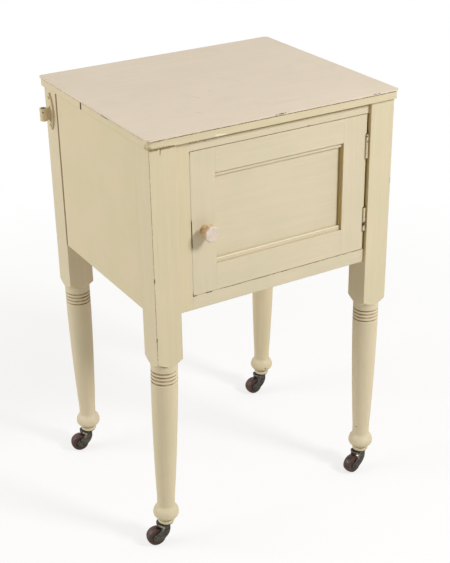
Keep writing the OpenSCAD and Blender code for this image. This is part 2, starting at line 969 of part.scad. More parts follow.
module door_bottom_rail() {
    color("#dccfa9")
        place()
            difference() {
                door_rail(door_foot, panel_foot);
                board(
                    [panel_left - 1, panel_front_y, panel_foot - panel_groove],
                    [panel_right + 1, panel_front_y + panel_thick, panel_foot + 1]);
            }
}

module door_panel() {
    color("#dfd2ad")
        place()
            board(
                [panel_left - panel_tongue, panel_front_y, panel_foot - panel_tongue],
                [panel_right + panel_tongue, panel_front_y + panel_thick, panel_top + panel_tongue]);
}

// Moulding along +X, its outer side on Z = 0 and its back on Y = 0, its inner front edge rounded
module moulding_bar(length, width) {
    rotate([90, 0, 90])
        linear_extrude(length)
            mirror([1, 0])
                union() {
                    square([moulding_thick, width - moulding_round]);
                    square([moulding_thick - moulding_round, width]);
                    translate([moulding_thick - moulding_round, width - moulding_round])
                        circle(r = moulding_round);
                }
}

module moulding_bottom() {
    color("#e0d4b0")
        place()
            translate([panel_left, panel_front_y, panel_foot])
                moulding_bar(panel_right - panel_left, moulding_height);
}

module moulding_top() {
    color("#e0d4b0")
        place()
            translate([panel_right, panel_front_y, panel_top])
                rotate([0, 180, 0])
                    moulding_bar(panel_right - panel_left, moulding_height);
}

module moulding_left() {
    color("#e0d4b0")
        place()
            translate([panel_left, panel_front_y, panel_top - moulding_height])
                rotate([0, 90, 0])
                    moulding_bar(panel_top - panel_foot - 2 * moulding_height, moulding_side);
}

module moulding_right() {
    color("#e0d4b0")
        place()
            translate([panel_right, panel_front_y, panel_foot + moulding_height])
                rotate([0, -90, 0])
                    moulding_bar(panel_top - panel_foot - 2 * moulding_height, moulding_side);
}

// ---------------------------------------------------------------- knob and catch

// Turns a piece drawn up +Z so that it stands out of the door, towards the front
module at_knob() {
    translate([knob_x, front_y, knob_z])
        rotate([90, 0, 0])
            children();
}

module knob_rose() {
    color("#d6caa6")
        place()
            at_knob()
                difference() {
                    cylinder(d = rose_dia, h = rose_thick);
                    translate([0, 0, -1])
                        cylinder(r = spindle_dia / 2 + moving_air, h = rose_thick + 2);
                }
}

// A slab as wide as the knob in one direction, bevelled at its face and towards its neck
module knob_slab(turn, width) {
    head_foot = knob_stand - knob_head;
    rotate([0, 0, turn])
        rotate([90, 0, 0])
            linear_extrude(2 * knob_tall, center = true)
                polygon([
                    [-width / 2 + knob_back_bevel, head_foot],
                    [width / 2 - knob_back_bevel, head_foot],
                    [width / 2, head_foot + knob_back_bevel],
                    [width / 2, knob_stand - knob_bevel],
                    [width / 2 - knob_bevel, knob_stand],
                    [-width / 2 + knob_bevel, knob_stand],
                    [-width / 2, knob_stand - knob_bevel],
                    [-width / 2, head_foot + knob_back_bevel]]);
}

// Eight sided head on a turned neck
module knob() {
    foot = rose_thick + moving_air;
    neck_top = knob_stand - knob_head + 1;
    color("#dccbc2")
        place()
            at_knob()
                difference() {
                    union() {
                        intersection() {
                            knob_slab(0, knob_across);
                            knob_slab(90, knob_tall);
                            knob_slab(45, knob_slant);
                            knob_slab(-45, knob_slant);
                        }
                        rotate_extrude()
                            polygon([
                                [0, foot],
                                [knob_neck / 2 + 1, foot],
                                [knob_neck / 2, foot + 2],
                                [knob_neck / 2, neck_top],
                                [0, neck_top]]);
                    }
                    translate([0, 0, -1])
                        cylinder(r = spindle_dia / 2 + running, h = knob_stand - 5);
                }
}

module knob_spindle() {
    color("#9a8a62")
        place()
            at_knob() {
                translate([0, 0, -frame_thick - moving_air - catch_thick])
                    cylinder(d = spindle_dia, h = frame_thick + moving_air + catch_thick + knob_stand - 6 - seat);
                translate([0, 0, -frame_thick - moving_air - catch_thick - 1.5])
                    cylinder(d = catch_width - 2, h = 1.5);
            }
}

// Tongue hanging down at rest; a quarter turn takes it behind the closing stile
module catch_tongue() {
    color("#9a8a62")
        place()
            translate([knob_x, catch_y + catch_thick, knob_z])
                rotate([90, 0, 0])
                    linear_extrude(catch_thick)
                        difference() {
                            union() {
                                circle(d = catch_width);
                                translate([-catch_width / 2 + 1, -catch_length + catch_width / 2])
                                    square([catch_width - 2, catch_length - catch_width / 2]);
                                translate([0, -catch_length + catch_width / 2])
                                    circle(d = catch_width - 2);
                            }
                            circle(r = spindle_dia / 2 + running);
                        }
}

// ---------------------------------------------------------------- castors

// A castor is drawn about its swivel axis, trailing towards -X, and then swung
module castor_at(foot, swing) {
    translate([foot[0], foot[1], 0])
        rotate([0, 0, swing])
            children();
}

module castor_socket() {
    difference() {
        union() {
            translate([0, 0, flange_foot])
                cylinder(d = flange_dia, h = flange_thick);
            translate([0, 0, flange_foot])
                cylinder(d = socket_dia, h = socket_length);
        }
        translate([0, 0, flange_foot - 1])
            cylinder(r = pintle_r + running, h = socket_length - socket_cap + 1);
    }
}

// Outline of one cheek, seen from the side: an eye round the axle and a crescent up to the crown
module cheek_outline() {
    difference() {
        union() {
            translate([-trail, wheel_r])
                circle(r = cheek_eye);
            difference() {
                intersection() {
                    translate(horn_mid)
                        circle(r = horn_r);
                    translate([-trail, 0])
                        square([trail + horn_front, crown_top]);
                }
                translate(scoop_mid)
                    circle(r = scoop_r);
            }
        }
        translate([-trail, wheel_r])
            circle(r = axle_r + running);
    }
}

// Crown with a round tail over the wheel and a round nose about the pintle
module crown_outline() {
    circle(r = crown_nose);
    intersection() {
        translate([crown_round - crown_tail, 0])
            circle(r = crown_round);
        translate([-crown_tail, -cheek_out])
            square([crown_tail + horn_front, 2 * cheek_out]);
    }
}

module castor_horn() {
    for (s = [-1, 1])
        translate([0, s > 0 ? cheek_out : -cheek_in, 0])
            rotate([90, 0, 0])
                linear_extrude(cheek_thick)
                    cheek_outline();
    translate([0, 0, crown_foot])
        linear_extrude(crown_thick)
            crown_outline();
    cylinder_foot = crown_top - 1;
    translate([0, 0, cylinder_foot])
        cylinder(r = pintle_r, h = pintle_length + 1);
}

module castor_axle() {
    translate([-trail, 0, wheel_r])
        rotate([90, 0, 0]) {
            cylinder(r = axle_r, h = 2 * cheek_out + 1, center = true);
            for (s = [-1, 1])
                translate([0, 0, s * (cheek_out + seat + 0.6)])
                    cylinder(r = axle_r + 1.4, h = 1.2, center = true);
        }
}

// Barrel shaped wheel with a dished ring in each face
module castor_wheel() {
    translate([-trail, 0, wheel_r])
        rotate([90, 0, 0])
            rotate_extrude()
                difference() {
                    intersection() {
                        translate([axle_r + running, -wheel_width / 2])
                            square([wheel_r - axle_r - running, wheel_width]);
                        translate([wheel_r - tread_r, 0])
                            circle(r = tread_r);
                    }
                    for (s = [-1, 1])
                        translate([axle_r + 5.5, s * (wheel_width / 2 + 0.6)])
                            circle(r = 1.8);
                }
}

module castor_socket_front_left() {
    color("#3c3a34")
        place()
            castor_at(foot_front_left, 0)
                castor_socket();
}

module castor_socket_front_right() {
    color("#3c3a34")
        place()
            castor_at(foot_front_right, 0)
                castor_socket();
}

module castor_socket_rear_left() {
    color("#3c3a34")
        place()
            castor_at(foot_rear_left, 0)
                castor_socket();
}

module castor_socket_rear_right() {
    color("#3c3a34")
        place()
            castor_at(foot_rear_right, 0)
                castor_socket();
}

module castor_horn_front_left() {
    color("#53554e")
        place()
            castor_at(foot_front_left, swing_front_left)
                castor_horn();
}

module castor_horn_front_right() {
    color("#53554e")
        place()
            castor_at(foot_front_right, swing_front_right)
                castor_horn();
}

module castor_horn_rear_left() {
    color("#53554e")
        place()
            castor_at(foot_rear_left, swing_rear_left)
                castor_horn();
}

module castor_horn_rear_right() {
    color("#53554e")
        place()
            castor_at(foot_rear_right, swing_rear_right)
                castor_horn();
}

module castor_axle_front_left() {
    color("#77766c")
        place()
            castor_at(foot_front_left, swing_front_left)
                castor_axle();
}

module castor_axle_front_right() {
    color("#77766c")
        place()
            castor_at(foot_front_right, swing_front_right)
                castor_axle();
}

module castor_axle_rear_left() {
    color("#77766c")
        place()
            castor_at(foot_rear_left, swing_rear_left)
                castor_axle();
}

module castor_axle_rear_right() {
    color("#77766c")
        place()
            castor_at(foot_rear_right, swing_rear_right)
                castor_axle();
}

module castor_wheel_front_left() {
    color("#4f3a30")
        place()
            castor_at(foot_front_left, swing_front_left)
                castor_wheel();
}

module castor_wheel_front_right() {
    color("#4f3a30")
        place()
            castor_at(foot_front_right, swing_front_right)
                castor_wheel();
}

module castor_wheel_rear_left() {
    color("#4f3a30")
        place()
            castor_at(foot_rear_left, swing_rear_left)
                castor_wheel();
}

module castor_wheel_rear_right() {
    color("#4f3a30")
        place()
            castor_at(foot_rear_right, swing_rear_right)
                castor_wheel();
}

top_sheet();
top_board();
leg_front_left();
leg_front_right();
leg_rear_left();
leg_rear_right();
side_panel_left();
side_panel_right();
back_panel();
floor_board();
front_top_rail();
front_bottom_rail();
closing_stile();
rear_top_rail();
rear_bottom_rail();
floor_bearer_left();
floor_bearer_right();
top_cleat_left();
top_cleat_right();
door_stop();
pole_bracket();
hinge_post_leaf_upper();
hinge_post_leaf_lower();
hinge_pin_upper();
hinge_pin_lower();
castor_socket_front_left();
castor_socket_front_right();
castor_socket_rear_left();
castor_socket_rear_right();
hinge_door_leaf_upper();
hinge_door_leaf_lower();
door_lock_stile();
door_hinge_stile();
door_top_rail();
door_bottom_rail();
door_panel();
moulding_top();
moulding_bottom();
moulding_left();
moulding_right();
knob_rose();
knob();
knob_spindle();
catch_tongue();
castor_horn_front_left();
castor_horn_front_right();
castor_horn_rear_left();
castor_horn_rear_right();
castor_axle_front_left();
castor_axle_front_right();
castor_axle_rear_left();
castor_axle_rear_right();
castor_wheel_front_left();
castor_wheel_front_right();
castor_wheel_rear_left();
castor_wheel_rear_right();
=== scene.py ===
import math
import random

import bmesh
import bpy
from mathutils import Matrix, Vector


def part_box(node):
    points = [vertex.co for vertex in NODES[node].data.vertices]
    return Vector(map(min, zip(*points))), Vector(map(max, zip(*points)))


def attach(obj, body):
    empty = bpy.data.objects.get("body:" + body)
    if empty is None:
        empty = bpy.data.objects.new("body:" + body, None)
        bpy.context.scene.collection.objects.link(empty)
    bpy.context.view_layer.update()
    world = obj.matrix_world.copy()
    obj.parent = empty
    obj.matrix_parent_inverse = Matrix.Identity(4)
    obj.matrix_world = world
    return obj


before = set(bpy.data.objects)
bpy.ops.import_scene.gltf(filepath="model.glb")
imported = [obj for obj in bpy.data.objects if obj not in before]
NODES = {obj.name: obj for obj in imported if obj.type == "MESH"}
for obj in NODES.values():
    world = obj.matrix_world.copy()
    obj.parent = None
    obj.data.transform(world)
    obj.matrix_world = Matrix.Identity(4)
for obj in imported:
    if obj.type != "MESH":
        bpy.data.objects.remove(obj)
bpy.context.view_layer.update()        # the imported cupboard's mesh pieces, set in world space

MM = 0.001

# The middle of the body on the floor, from which marks, dried paint and camera are placed
LEFT_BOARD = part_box("side_panel_left")
RIGHT_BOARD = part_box("side_panel_right")
BODY = Vector((
    (LEFT_BOARD[0].x + RIGHT_BOARD[1].x) / 2,
    (LEFT_BOARD[0].y + LEFT_BOARD[1].y) / 2,
    0))

# Directions in which a brush or the grain runs, as stretches of a pattern per metre
UPRIGHT = (430, 430, 12)
LEVEL = (12, 430, 430)
DEEP = (430, 12, 430)
ALONG_TOP = (14, 260, 260)


def tone(red, green, blue):
    """A colour as a screen shows it, 0 to 255, turned into the linear colour of a shader."""

    def linear(level):
        share = level / 255
        if share <= 0.04045:
            return share / 12.92
        return ((share + 0.055) / 1.055) ** 2.4

    return (linear(red), linear(green), linear(blue), 1.0)


CREAM = tone(214, 201, 170)
DOOR_CREAM = tone(212, 202, 182)
PALE_CREAM = tone(213, 202, 176)
CLEAN_CREAM = tone(216, 204, 179)
SOFT_CREAM = tone(214, 202, 174)
CREAM_PINK = tone(219, 204, 175)
CREAM_GREEN = tone(211, 202, 169)

BARE_WOOD = tone(120, 86, 52)
WORN_ARRIS = tone(136, 108, 66)
DARK_SEAM = tone(84, 62, 38)
GRIME = tone(128, 104, 68)
# golden tint of dirt and of painted shade in seams, recesses and under the top
GOLDEN_DIRT_AND_SHADE = tone(152, 118, 52)
# golden tint of painted shade on faces that sit in a recess's shadow
GOLDEN_SHADE_TINT = tone(204, 176, 116)
# painted shade in the ring grooves of the legs
GROOVE_SHADE = tone(134, 98, 44)
# pale chips, and the painted highlight on groove lips and on the bottom moulding
PALE_CHIP_AND_HIGHLIGHT = tone(238, 229, 203)
CORNER_DIRT = tone(168, 144, 92)
EDGE_DIRT = tone(168, 146, 96)
PALE_DIRT = tone(176, 154, 106)
# painted shade on the right moulding
MOULDING_SHADE_TINT = tone(170, 144, 74)
SHRUNK_SEAM = tone(150, 130, 76)
OPEN_SEAM = tone(150, 131, 70)
# painted shade on the side of the post in the hinge gap, pale and olive
PALE_GAP_SHADE = tone(214, 192, 136)
OLIVE_GAP_SHADE = tone(186, 156, 38)
# brown of the painted shade that a strip lays in the door's bottom gap
GAP_SHADE_BROWN = tone(176, 150, 98)
DEEP_SLIT = tone(40, 31, 18)
# painted shade inside the bracket's bore, with dirt round its mouth
BORE_SHADE_AND_DIRT = tone(24, 18, 12)
HINGE_RUST = tone(70, 42, 24)
HINGE_GREASE = tone(62, 46, 10)

TOP_BEIGE = tone(220, 207, 188)
TOP_CLOUD = tone(223, 210, 192)
TOP_RUBBED = tone(208, 196, 172)
TOP_EDGE = tone(150, 118, 84)

AGED_PINE = tone(186, 150, 104)
DARK_PINE = tone(136, 98, 60)
STAINED_PINE = tone(124, 92, 60)
PINE_SEAM = tone(84, 62, 42)

BRACKET_PAINT = tone(216, 199, 158)
BRACKET_SCREW_PAINT = tone(206, 186, 144)
HINGE_SCREW_PAINT = tone(190, 170, 130)
ROSE_PAINT = tone(196, 172, 120)
RUST = tone(110, 66, 34)
DARK_RUST = tone(66, 40, 24)
RUSTY_SEAM = tone(126, 86, 46)

# Bare metals: their dark skin, where they are worn, and their stains
STEEL_TONES = (tone(112, 108, 100), tone(160, 156, 148), tone(98, 62, 36))
BRASS_TONES = (tone(116, 92, 52), tone(178, 148, 92), tone(82, 66, 44))
IRON_TONES = (tone(42, 43, 41), tone(140, 138, 128), tone(58, 44, 36))
IRON_WEAR = {"edge_wear": 0.62, "stain_share": 0.42}
METAL_SEAM = tone(30, 24, 20)
# worn iron with a painted highlight, and painted shadow under a castor's collar
RUBBED_IRON_AND_HIGHLIGHT = tone(170, 162, 144)
COLLAR_SHADOW = tone(24, 20, 17)

WHEEL_BROWN = tone(58, 42, 40)
WHEEL_RED = tone(84, 48, 40)
WHEEL_SCUFF = tone(128, 104, 88)
WHEEL_EDGE = tone(128, 92, 74)
WHEEL_SEAM = tone(28, 20, 18)

KNOB_WHITE = tone(226, 208, 196)
KNOB_GREY = tone(206, 194, 184)
KNOB_CLOUD = tone(190, 172, 156)
KNOB_STRAW = tone(232, 198, 152)
KNOB_AMBER = tone(210, 168, 116)
# painted highlight on the knob's arrises
KNOB_EDGE_HIGHLIGHT = tone(246, 226, 194)
KNOB_SEAM = tone(150, 112, 62)


# ---------------------------------------------------------------- wiring of shader nodes

def feed(tree, socket, value):
    """Links an output to a socket, or sets a plain value on it."""
    if isinstance(value, bpy.types.NodeSocket):
        tree.links.new(value, socket)
    else:
        socket.default_value = value


def add(tree, kind, values, **settings):
    """Adds a node with its settings, and fills its inputs by name or by number."""
    node = tree.nodes.new(kind)
    for name, setting in settings.items():
        setattr(node, name, setting)
    for socket, value in values.items():
        feed(tree, node.inputs[socket], value)
    return node


def maths(tree, operation, first, second=0.0):
    return add(tree, "ShaderNodeMath", {0: first, 1: second}, operation=operation).outputs[0]


def vector_maths(tree, operation, first, second=(0, 0, 0)):
    """Vector sums; a length or a dot product comes out as a number."""
    node = add(tree, "ShaderNodeVectorMath", {0: first, 1: second}, operation=operation)
    return node.outputs[1 if operation in ("LENGTH", "DOT_PRODUCT") else 0]


def scaled(tree, first, amount):
    node = add(tree, "ShaderNodeVectorMath", {0: first, "Scale": amount}, operation="SCALE")
    return node.outputs[0]


def blend(tree, amount, low, high):
    """A number between two numbers, which are sockets 2 and 3 of a Mix node."""
    return add(tree, "ShaderNodeMix", {0: amount, 2: low, 3: high}, data_type="FLOAT").outputs[0]


def coat(tree, amount, under, over, way="MIX"):
    """One colour laid over another. They are sockets 6 and 7 of a Mix node."""
    values = {0: amount, 6: under, 7: over}
    return add(tree, "ShaderNodeMix", values, data_type="RGBA", blend_type=way).outputs[2]


def tint(tree, colour, mask, strength, over):
    """Lays a colour over another where a mask is, as strongly as strength says."""
    return coat(tree, maths(tree, "MULTIPLY", mask, strength), colour, over)


def shaded(tree, colour, light):
    """A colour made darker or lighter by a number near 1."""
    grey = add(tree, "ShaderNodeCombineColor", {0: light, 1: light, 2: light}).outputs[0]
    return coat(tree, 1.0, colour, grey, "MULTIPLY")


def ramp(tree, value, start, end, low=0.0, high=1.0):
    """A smooth step from low to high while value goes from start to end."""
    values = {0: value, 1: start, 2: end, 3: low, 4: high}
    return add(tree, "ShaderNodeMapRange", values, interpolation_type="SMOOTHSTEP").outputs[0]


def noise(tree, place, scale, detail=2.0, roughness=0.5):
    values = {"Vector": place, "Scale": scale, "Detail": detail, "Roughness": roughness}
    return add(tree, "ShaderNodeTexNoise", values).outputs[0]


def parted(tree, place):
    return add(tree, "ShaderNodeSeparateXYZ", {0: place}).outputs


def shader_group(name, takes, gives):
    """A new shader group with its sockets; returns it with what comes in and what goes out."""
    group = bpy.data.node_groups.new(name, "ShaderNodeTree")
    for socket, value in takes.items():
        kind = "NodeSocketFloat" if isinstance(value, (int, float)) else "NodeSocketVector"
        group.interface.new_socket(socket, in_out="INPUT", socket_type=kind).default_value = value
    for socket, kind in gives.items():
        group.interface.new_socket(socket, in_out="OUTPUT", socket_type="NodeSocket" + kind)
    come = group.nodes.new("NodeGroupInput").outputs
    go = group.nodes.new("NodeGroupOutput").inputs
    return group, come, go


def place_group(tree, group, **values):
    """Puts a group into a material; the names of its inputs are written with small letters."""
    node = tree.nodes.new("ShaderNodeGroup")
    node.node_tree = group
    for name, value in values.items():
        feed(tree, node.inputs[name.replace("_", " ").capitalize()], value)
    return node.outputs


# ---------------------------------------------------------------- effects shared by materials

def make_brushwork():
    """Marks of a brush along a stretch, soft patches and a fine orange peel."""
    tree, come, go = shader_group(
        "brushwork",
        {"Vector": (0, 0, 0), "Grain": UPRIGHT, "Shift": 0.0},
        {"Streak": "Float", "Patch": "Float", "Height": "Float"})
    shift = add(tree, "ShaderNodeCombineXYZ", {0: come["Shift"], 1: come["Shift"]}).outputs[0]
    place = vector_maths(tree, "ADD", come["Vector"], shift)
    stretched = vector_maths(tree, "MULTIPLY", place, come["Grain"])
    broad = noise(tree, stretched, 0.45, 3, 0.6)
    fine = noise(tree, stretched, 1.7, 2, 0.6)
    peel = noise(tree, place, 520, 1)
    feed(tree, go["Streak"], blend(tree, 0.45, broad, fine))
    feed(tree, go["Patch"], noise(tree, place, 11, 4, 0.55))
    hills = blend(tree, 0.5, broad, fine)
    feed(tree, go["Height"], blend(tree, 0.35, hills, peel))
    return tree


def make_worn_edge():
    """Finds the arrises, where the finish wears off, and rounds them for the light."""
    tree, come, go = shader_group(
        "worn edge",
        {"Vector": (0, 0, 0), "Radius": 1 * MM, "Wear": 0.4},
        {"Mask": "Float", "Normal": "Vector"})
    rounded = add(tree, "ShaderNodeBevel", {"Radius": come["Radius"]}, samples=6).outputs[0]
    flat = tree.nodes.new("ShaderNodeNewGeometry").outputs["Normal"]
    turned = maths(tree, "SUBTRACT", 1, vector_maths(tree, "DOT_PRODUCT", rounded, flat))
    edge = ramp(tree, turned, 0.02, 0.22)
    bitten = noise(tree, come["Vector"], 95, 5, 0.68)
    limit = maths(tree, "SUBTRACT", 1, come["Wear"])
    gone = ramp(tree, bitten, limit, maths(tree, "ADD", limit, 0.08))
    feed(tree, go["Mask"], maths(tree, "MULTIPLY", edge, gone))
    feed(tree, go["Normal"], rounded)
    return tree


def make_crevice_dirt_and_shade():
    """Dirt and painted shade in corners, seams and grooves, where a cloth does not reach and less
    light falls.
    """
    tree, come, go = shader_group(
        "crevice grime and shade",
        {"Vector": (0, 0, 0), "Reach": 6 * MM, "Shut": 0.35},
        {"Mask": "Float"})
    open_sky = add(tree, "ShaderNodeAmbientOcclusion", {"Distance": come["Reach"]}, samples=6)
    closed = ramp(tree, open_sky.outputs["AO"], 0.72, come["Shut"])
    uneven = ramp(tree, noise(tree, come["Vector"], 60, 3), 0.25, 0.7, 0.55, 1.0)
    feed(tree, go["Mask"], maths(tree, "MULTIPLY", closed, uneven))
    return tree


def make_stroke():
    """A mark along the line between two points: a crack, a scratch, a chip or a worn arris."""
    tree, come, go = shader_group(
        "stroke",
        {"Vector": (0, 0, 0), "Start": (0, 0, 0), "End": (0, 0, 0), "Width": 1 * MM,
         "Rag": 0.5, "Broken": 0.0},
        {"Mask": "Float"})
    along = vector_maths(tree, "SUBTRACT", come["End"], come["Start"])
    away = vector_maths(tree, "SUBTRACT", come["Vector"], come["Start"])
    share = maths(
        tree, "DIVIDE",
        vector_maths(tree, "DOT_PRODUCT", away, along),
        vector_maths(tree, "DOT_PRODUCT", along, along))
    share = add(tree, "ShaderNodeClamp", {0: share}).outputs[0]
    rest = vector_maths(tree, "SUBTRACT", away, scaled(tree, along, share))
    distance = maths(tree, "DIVIDE", vector_maths(tree, "LENGTH", rest), come["Width"])
    ragged = noise(tree, come["Vector"], 420, 3, 0.6)
    ragged = maths(tree, "MULTIPLY", maths(tree, "SUBTRACT", ragged, 0.5), come["Rag"])
    distance = maths(tree, "ADD", distance, maths(tree, "MULTIPLY", ragged, 4))
    gaps = noise(tree, come["Vector"], 110, 3, 0.6)
    whole = ramp(tree, gaps, come["Broken"], maths(tree, "ADD", come["Broken"], 0.06))
    feed(tree, go["Mask"], maths(tree, "MULTIPLY", ramp(tree, distance, 1.2, 0.5), whole))
    return tree


def make_specks():
    """Small separate spots, scattered at a mean spacing."""
    tree, come, go = shader_group(
        "specks",
        {"Vector": (0, 0, 0), "Spacing": 30 * MM, "Size": 1.2 * MM, "Share": 0.3},
        {"Mask": "Float"})
    per_metre = maths(tree, "DIVIDE", 1, come["Spacing"])
    cells = add(tree, "ShaderNodeTexVoronoi", {"Vector": come["Vector"], "Scale": per_metre})
    bent = maths(tree, "MULTIPLY", noise(tree, come["Vector"], 700, 2), come["Size"])
    reach = maths(tree, "MULTIPLY", bent, maths(tree, "MULTIPLY", per_metre, 2))
    near = ramp(tree, cells.outputs["Distance"], reach, maths(tree, "MULTIPLY", reach, 0.5))
    chance = parted(tree, cells.outputs["Color"])[0]
    kept = maths(tree, "LESS_THAN", chance, come["Share"])
    feed(tree, go["Mask"], maths(tree, "MULTIPLY", near, kept))
    return tree


def make_wood_grain():
    """Growth rings of sawn softwood, drawn long, with fine pores."""
    tree, come, go = shader_group(
        "wood grain",
        {"Vector": (0, 0, 0), "Grain": UPRIGHT, "Shift": 0.0},
        {"Rings": "Float", "Pores": "Float", "Patch": "Float"})
    shift = add(tree, "ShaderNodeCombineXYZ", {0: come["Shift"], 2: come["Shift"]}).outputs[0]
    place = vector_maths(tree, "ADD", come["Vector"], shift)
    stretched = vector_maths(tree, "MULTIPLY", place, come["Grain"])
    wide = noise(tree, stretched, 0.045, 2, 0.5)
    phase = maths(tree, "MULTIPLY", wide, 26)
    saw = maths(tree, "FRACT", phase)
    feed(tree, go["Rings"], maths(tree, "POWER", saw, 2.2))
    feed(tree, go["Pores"], noise(tree, stretched, 2.1, 2, 0.7))
    feed(tree, go["Patch"], noise(tree, place, 7, 3, 0.55))
    return tree


BRUSHWORK = make_brushwork()
WORN_EDGE = make_worn_edge()
CREVICE_DIRT_AND_SHADE = make_crevice_dirt_and_shade()
STROKE = make_stroke()
SPECKS = make_specks()
WOOD_GRAIN = make_wood_grain()


# ---------------------------------------------------------------- finishes

def new_finish(name):
    """An empty material with its shader, and the place on the piece."""
    material = bpy.data.materials.new(name)
    material.use_nodes = True
    tree = material.node_tree
    place = tree.nodes.new("ShaderNodeTexCoord").outputs["Object"]
    return material, tree, tree.nodes["Principled BSDF"].inputs, place


def finish_surface(tree, shader, colour, roughness, height, normal, strength, depth):
    """Joins colour, roughness and relief to the shader. Depth is how far the relief goes."""
    bump = add(
        tree, "ShaderNodeBump",
        {"Height": height, "Strength": strength, "Distance": depth, "Normal": normal})
    feed(tree, shader["Base Color"], colour)
    feed(tree, shader["Roughness"], roughness)
    feed(tree, shader["Normal"], bump.outputs[0])


def on_body(point):
    """A point given in millimetres from the middle of the body."""
    return BODY + Vector(point) * MM


def draw_marks(tree, place, colour, marks):
    """Lays each mark over the colour; returns the colour and how deep the marks are cut."""
    depth = 0.0
    for start, end, width, mark_tone, strength, rag, broken in marks:
        mask = place_group(
            tree, STROKE, vector=place, start=on_body(start), end=on_body(end),
            width=width * MM, rag=rag, broken=broken)["Mask"]
        amount = maths(tree, "MULTIPLY", mask, strength)
        colour = coat(tree, amount, colour, mark_tone)
        depth = maths(tree, "MAXIMUM", depth, amount)
    return colour, depth


# Half widths of the painted shade in a ring groove and of the painted highlight on its lip,
# where they end and where they are full, and how far the lip lies below the middle of the groove
RING_WIDTHS = (1.7 * MM, 0.7 * MM)
LIP_WIDTHS = (1.1 * MM, 0.4 * MM)
LIP_DROP = 2.3 * MM


def ring_lines(tree, place, colour, heights):
    """Painted shade in the ring grooves of a leg, with a painted highlight on a pale lip under each
    of them.
    """
    height = parted(tree, place)[2]
    uneven = ramp(tree, noise(tree, place, 85, 3, 0.6), 0.3, 0.65, 0.3, 0.85)
    for middle in heights:
        above = maths(tree, "SUBTRACT", height, middle)
        groove = ramp(tree, maths(tree, "ABSOLUTE", above), *RING_WIDTHS)
        lip = maths(tree, "ABSOLUTE", maths(tree, "ADD", above, LIP_DROP))
        lip = ramp(tree, lip, *LIP_WIDTHS)
        colour = tint(tree, colour, groove, uneven, GROOVE_SHADE)
        colour = tint(tree, colour, lip, 0.5, PALE_CHIP_AND_HIGHLIGHT)
    return colour


def painted(name, base, grain, shift, wear=0.34, dirt_and_shade=0.9, marks=(), streaks=1.0, rings=()):
    """Old brushed oil paint on wood: streaks, soft patches, worn arrises, and seams darkened by
    dirt and painted shade.

    Shift moves the patterns along, so that no two boards match. Wear and the dirt with painted
    shade run from 0 to 1. Rings are the heights of grooves that get painted shade, with a painted
    highlight on each lip.
    """
    material, tree, shader, place = new_finish(name)
    brush = place_group(tree, BRUSHWORK, vector=place, grain=grain, shift=shift)
    edge = place_group(tree, WORN_EDGE, vector=place, radius=1.1 * MM, wear=wear)
    seam = place_group(tree, CREVICE_DIRT_AND_SHADE, vector=place, reach=7 * MM, shut=0.3)["Mask"]
    specks = place_group(tree, SPECKS, vector=place, spacing=55 * MM, size=1.1 * MM, share=0.35)

    pinker = coat(tree, 0.5, base, CREAM_PINK)
    greener = coat(tree, 0.5, base, CREAM_GREEN)
    colour = coat(tree, ramp(tree, brush["Patch"], 0.35, 0.65), greener, pinker)
    streak = ramp(tree, brush["Streak"], 0.32, 0.68, 1 - 0.03 * streaks, 1 + 0.024 * streaks)
    colour = shaded(tree, colour, streak)
    # dirt and painted shade where the occlusion mask finds seams and corners
    colour = tint(tree, colour, seam, dirt_and_shade, GOLDEN_DIRT_AND_SHADE)
    colour = ring_lines(tree, place, colour, rings)
    convex = maths(tree, "SUBTRACT", 1, ramp(tree, seam, 0.1, 0.5))
    worn = maths(tree, "MULTIPLY", edge["Mask"], convex)
    colour = tint(tree, colour, worn, 0.75, BARE_WOOD)
    colour = tint(tree, colour, specks["Mask"], 0.55, GRIME)
    colour, depth = draw_marks(tree, place, colour, marks)

    rough = ramp(tree, brush["Streak"], 0.3, 0.7, 0.46, 0.56)
    rough = blend(tree, maths(tree, "MAXIMUM", worn, seam), rough, 0.8)
    hollow = maths(tree, "MULTIPLY", maths(tree, "MAXIMUM", depth, worn), 2.0)
    height = maths(tree, "SUBTRACT", brush["Height"], hollow)
    finish_surface(
        tree, shader, colour, rough, height, edge["Normal"], strength=0.26, depth=0.2 * MM)
    shader["Specular IOR Level"].default_value = 0.42
    return material


def bare_timber(name, grain, shift):
    """Unpainted softwood inside and behind, brown with age and darker in its seams."""
    material, tree, shader, place = new_finish(name)
    wood = place_group(tree, WOOD_GRAIN, vector=place, grain=grain, shift=shift)
    edge = place_group(tree, WORN_EDGE, vector=place, radius=0.8 * MM, wear=0.5)
    seam = place_group(tree, CREVICE_DIRT_AND_SHADE, vector=place, reach=12 * MM, shut=0.3)["Mask"]
    colour = tint(tree, AGED_PINE, wood["Rings"], 0.55, DARK_PINE)
    colour = tint(tree, colour, ramp(tree, wood["Pores"], 0.55, 0.75), 0.3, DARK_PINE)
    colour = tint(tree, colour, ramp(tree, wood["Patch"], 0.45, 0.75), 0.4, STAINED_PINE)
    colour = tint(tree, colour, seam, 0.6, PINE_SEAM)
    rough = blend(tree, wood["Rings"], 0.72, 0.62)
    height = blend(tree, 0.5, wood["Rings"], wood["Pores"])
    finish_surface(
        tree, shader, colour, rough, height, edge["Normal"], strength=0.5, depth=0.3 * MM)
    return material


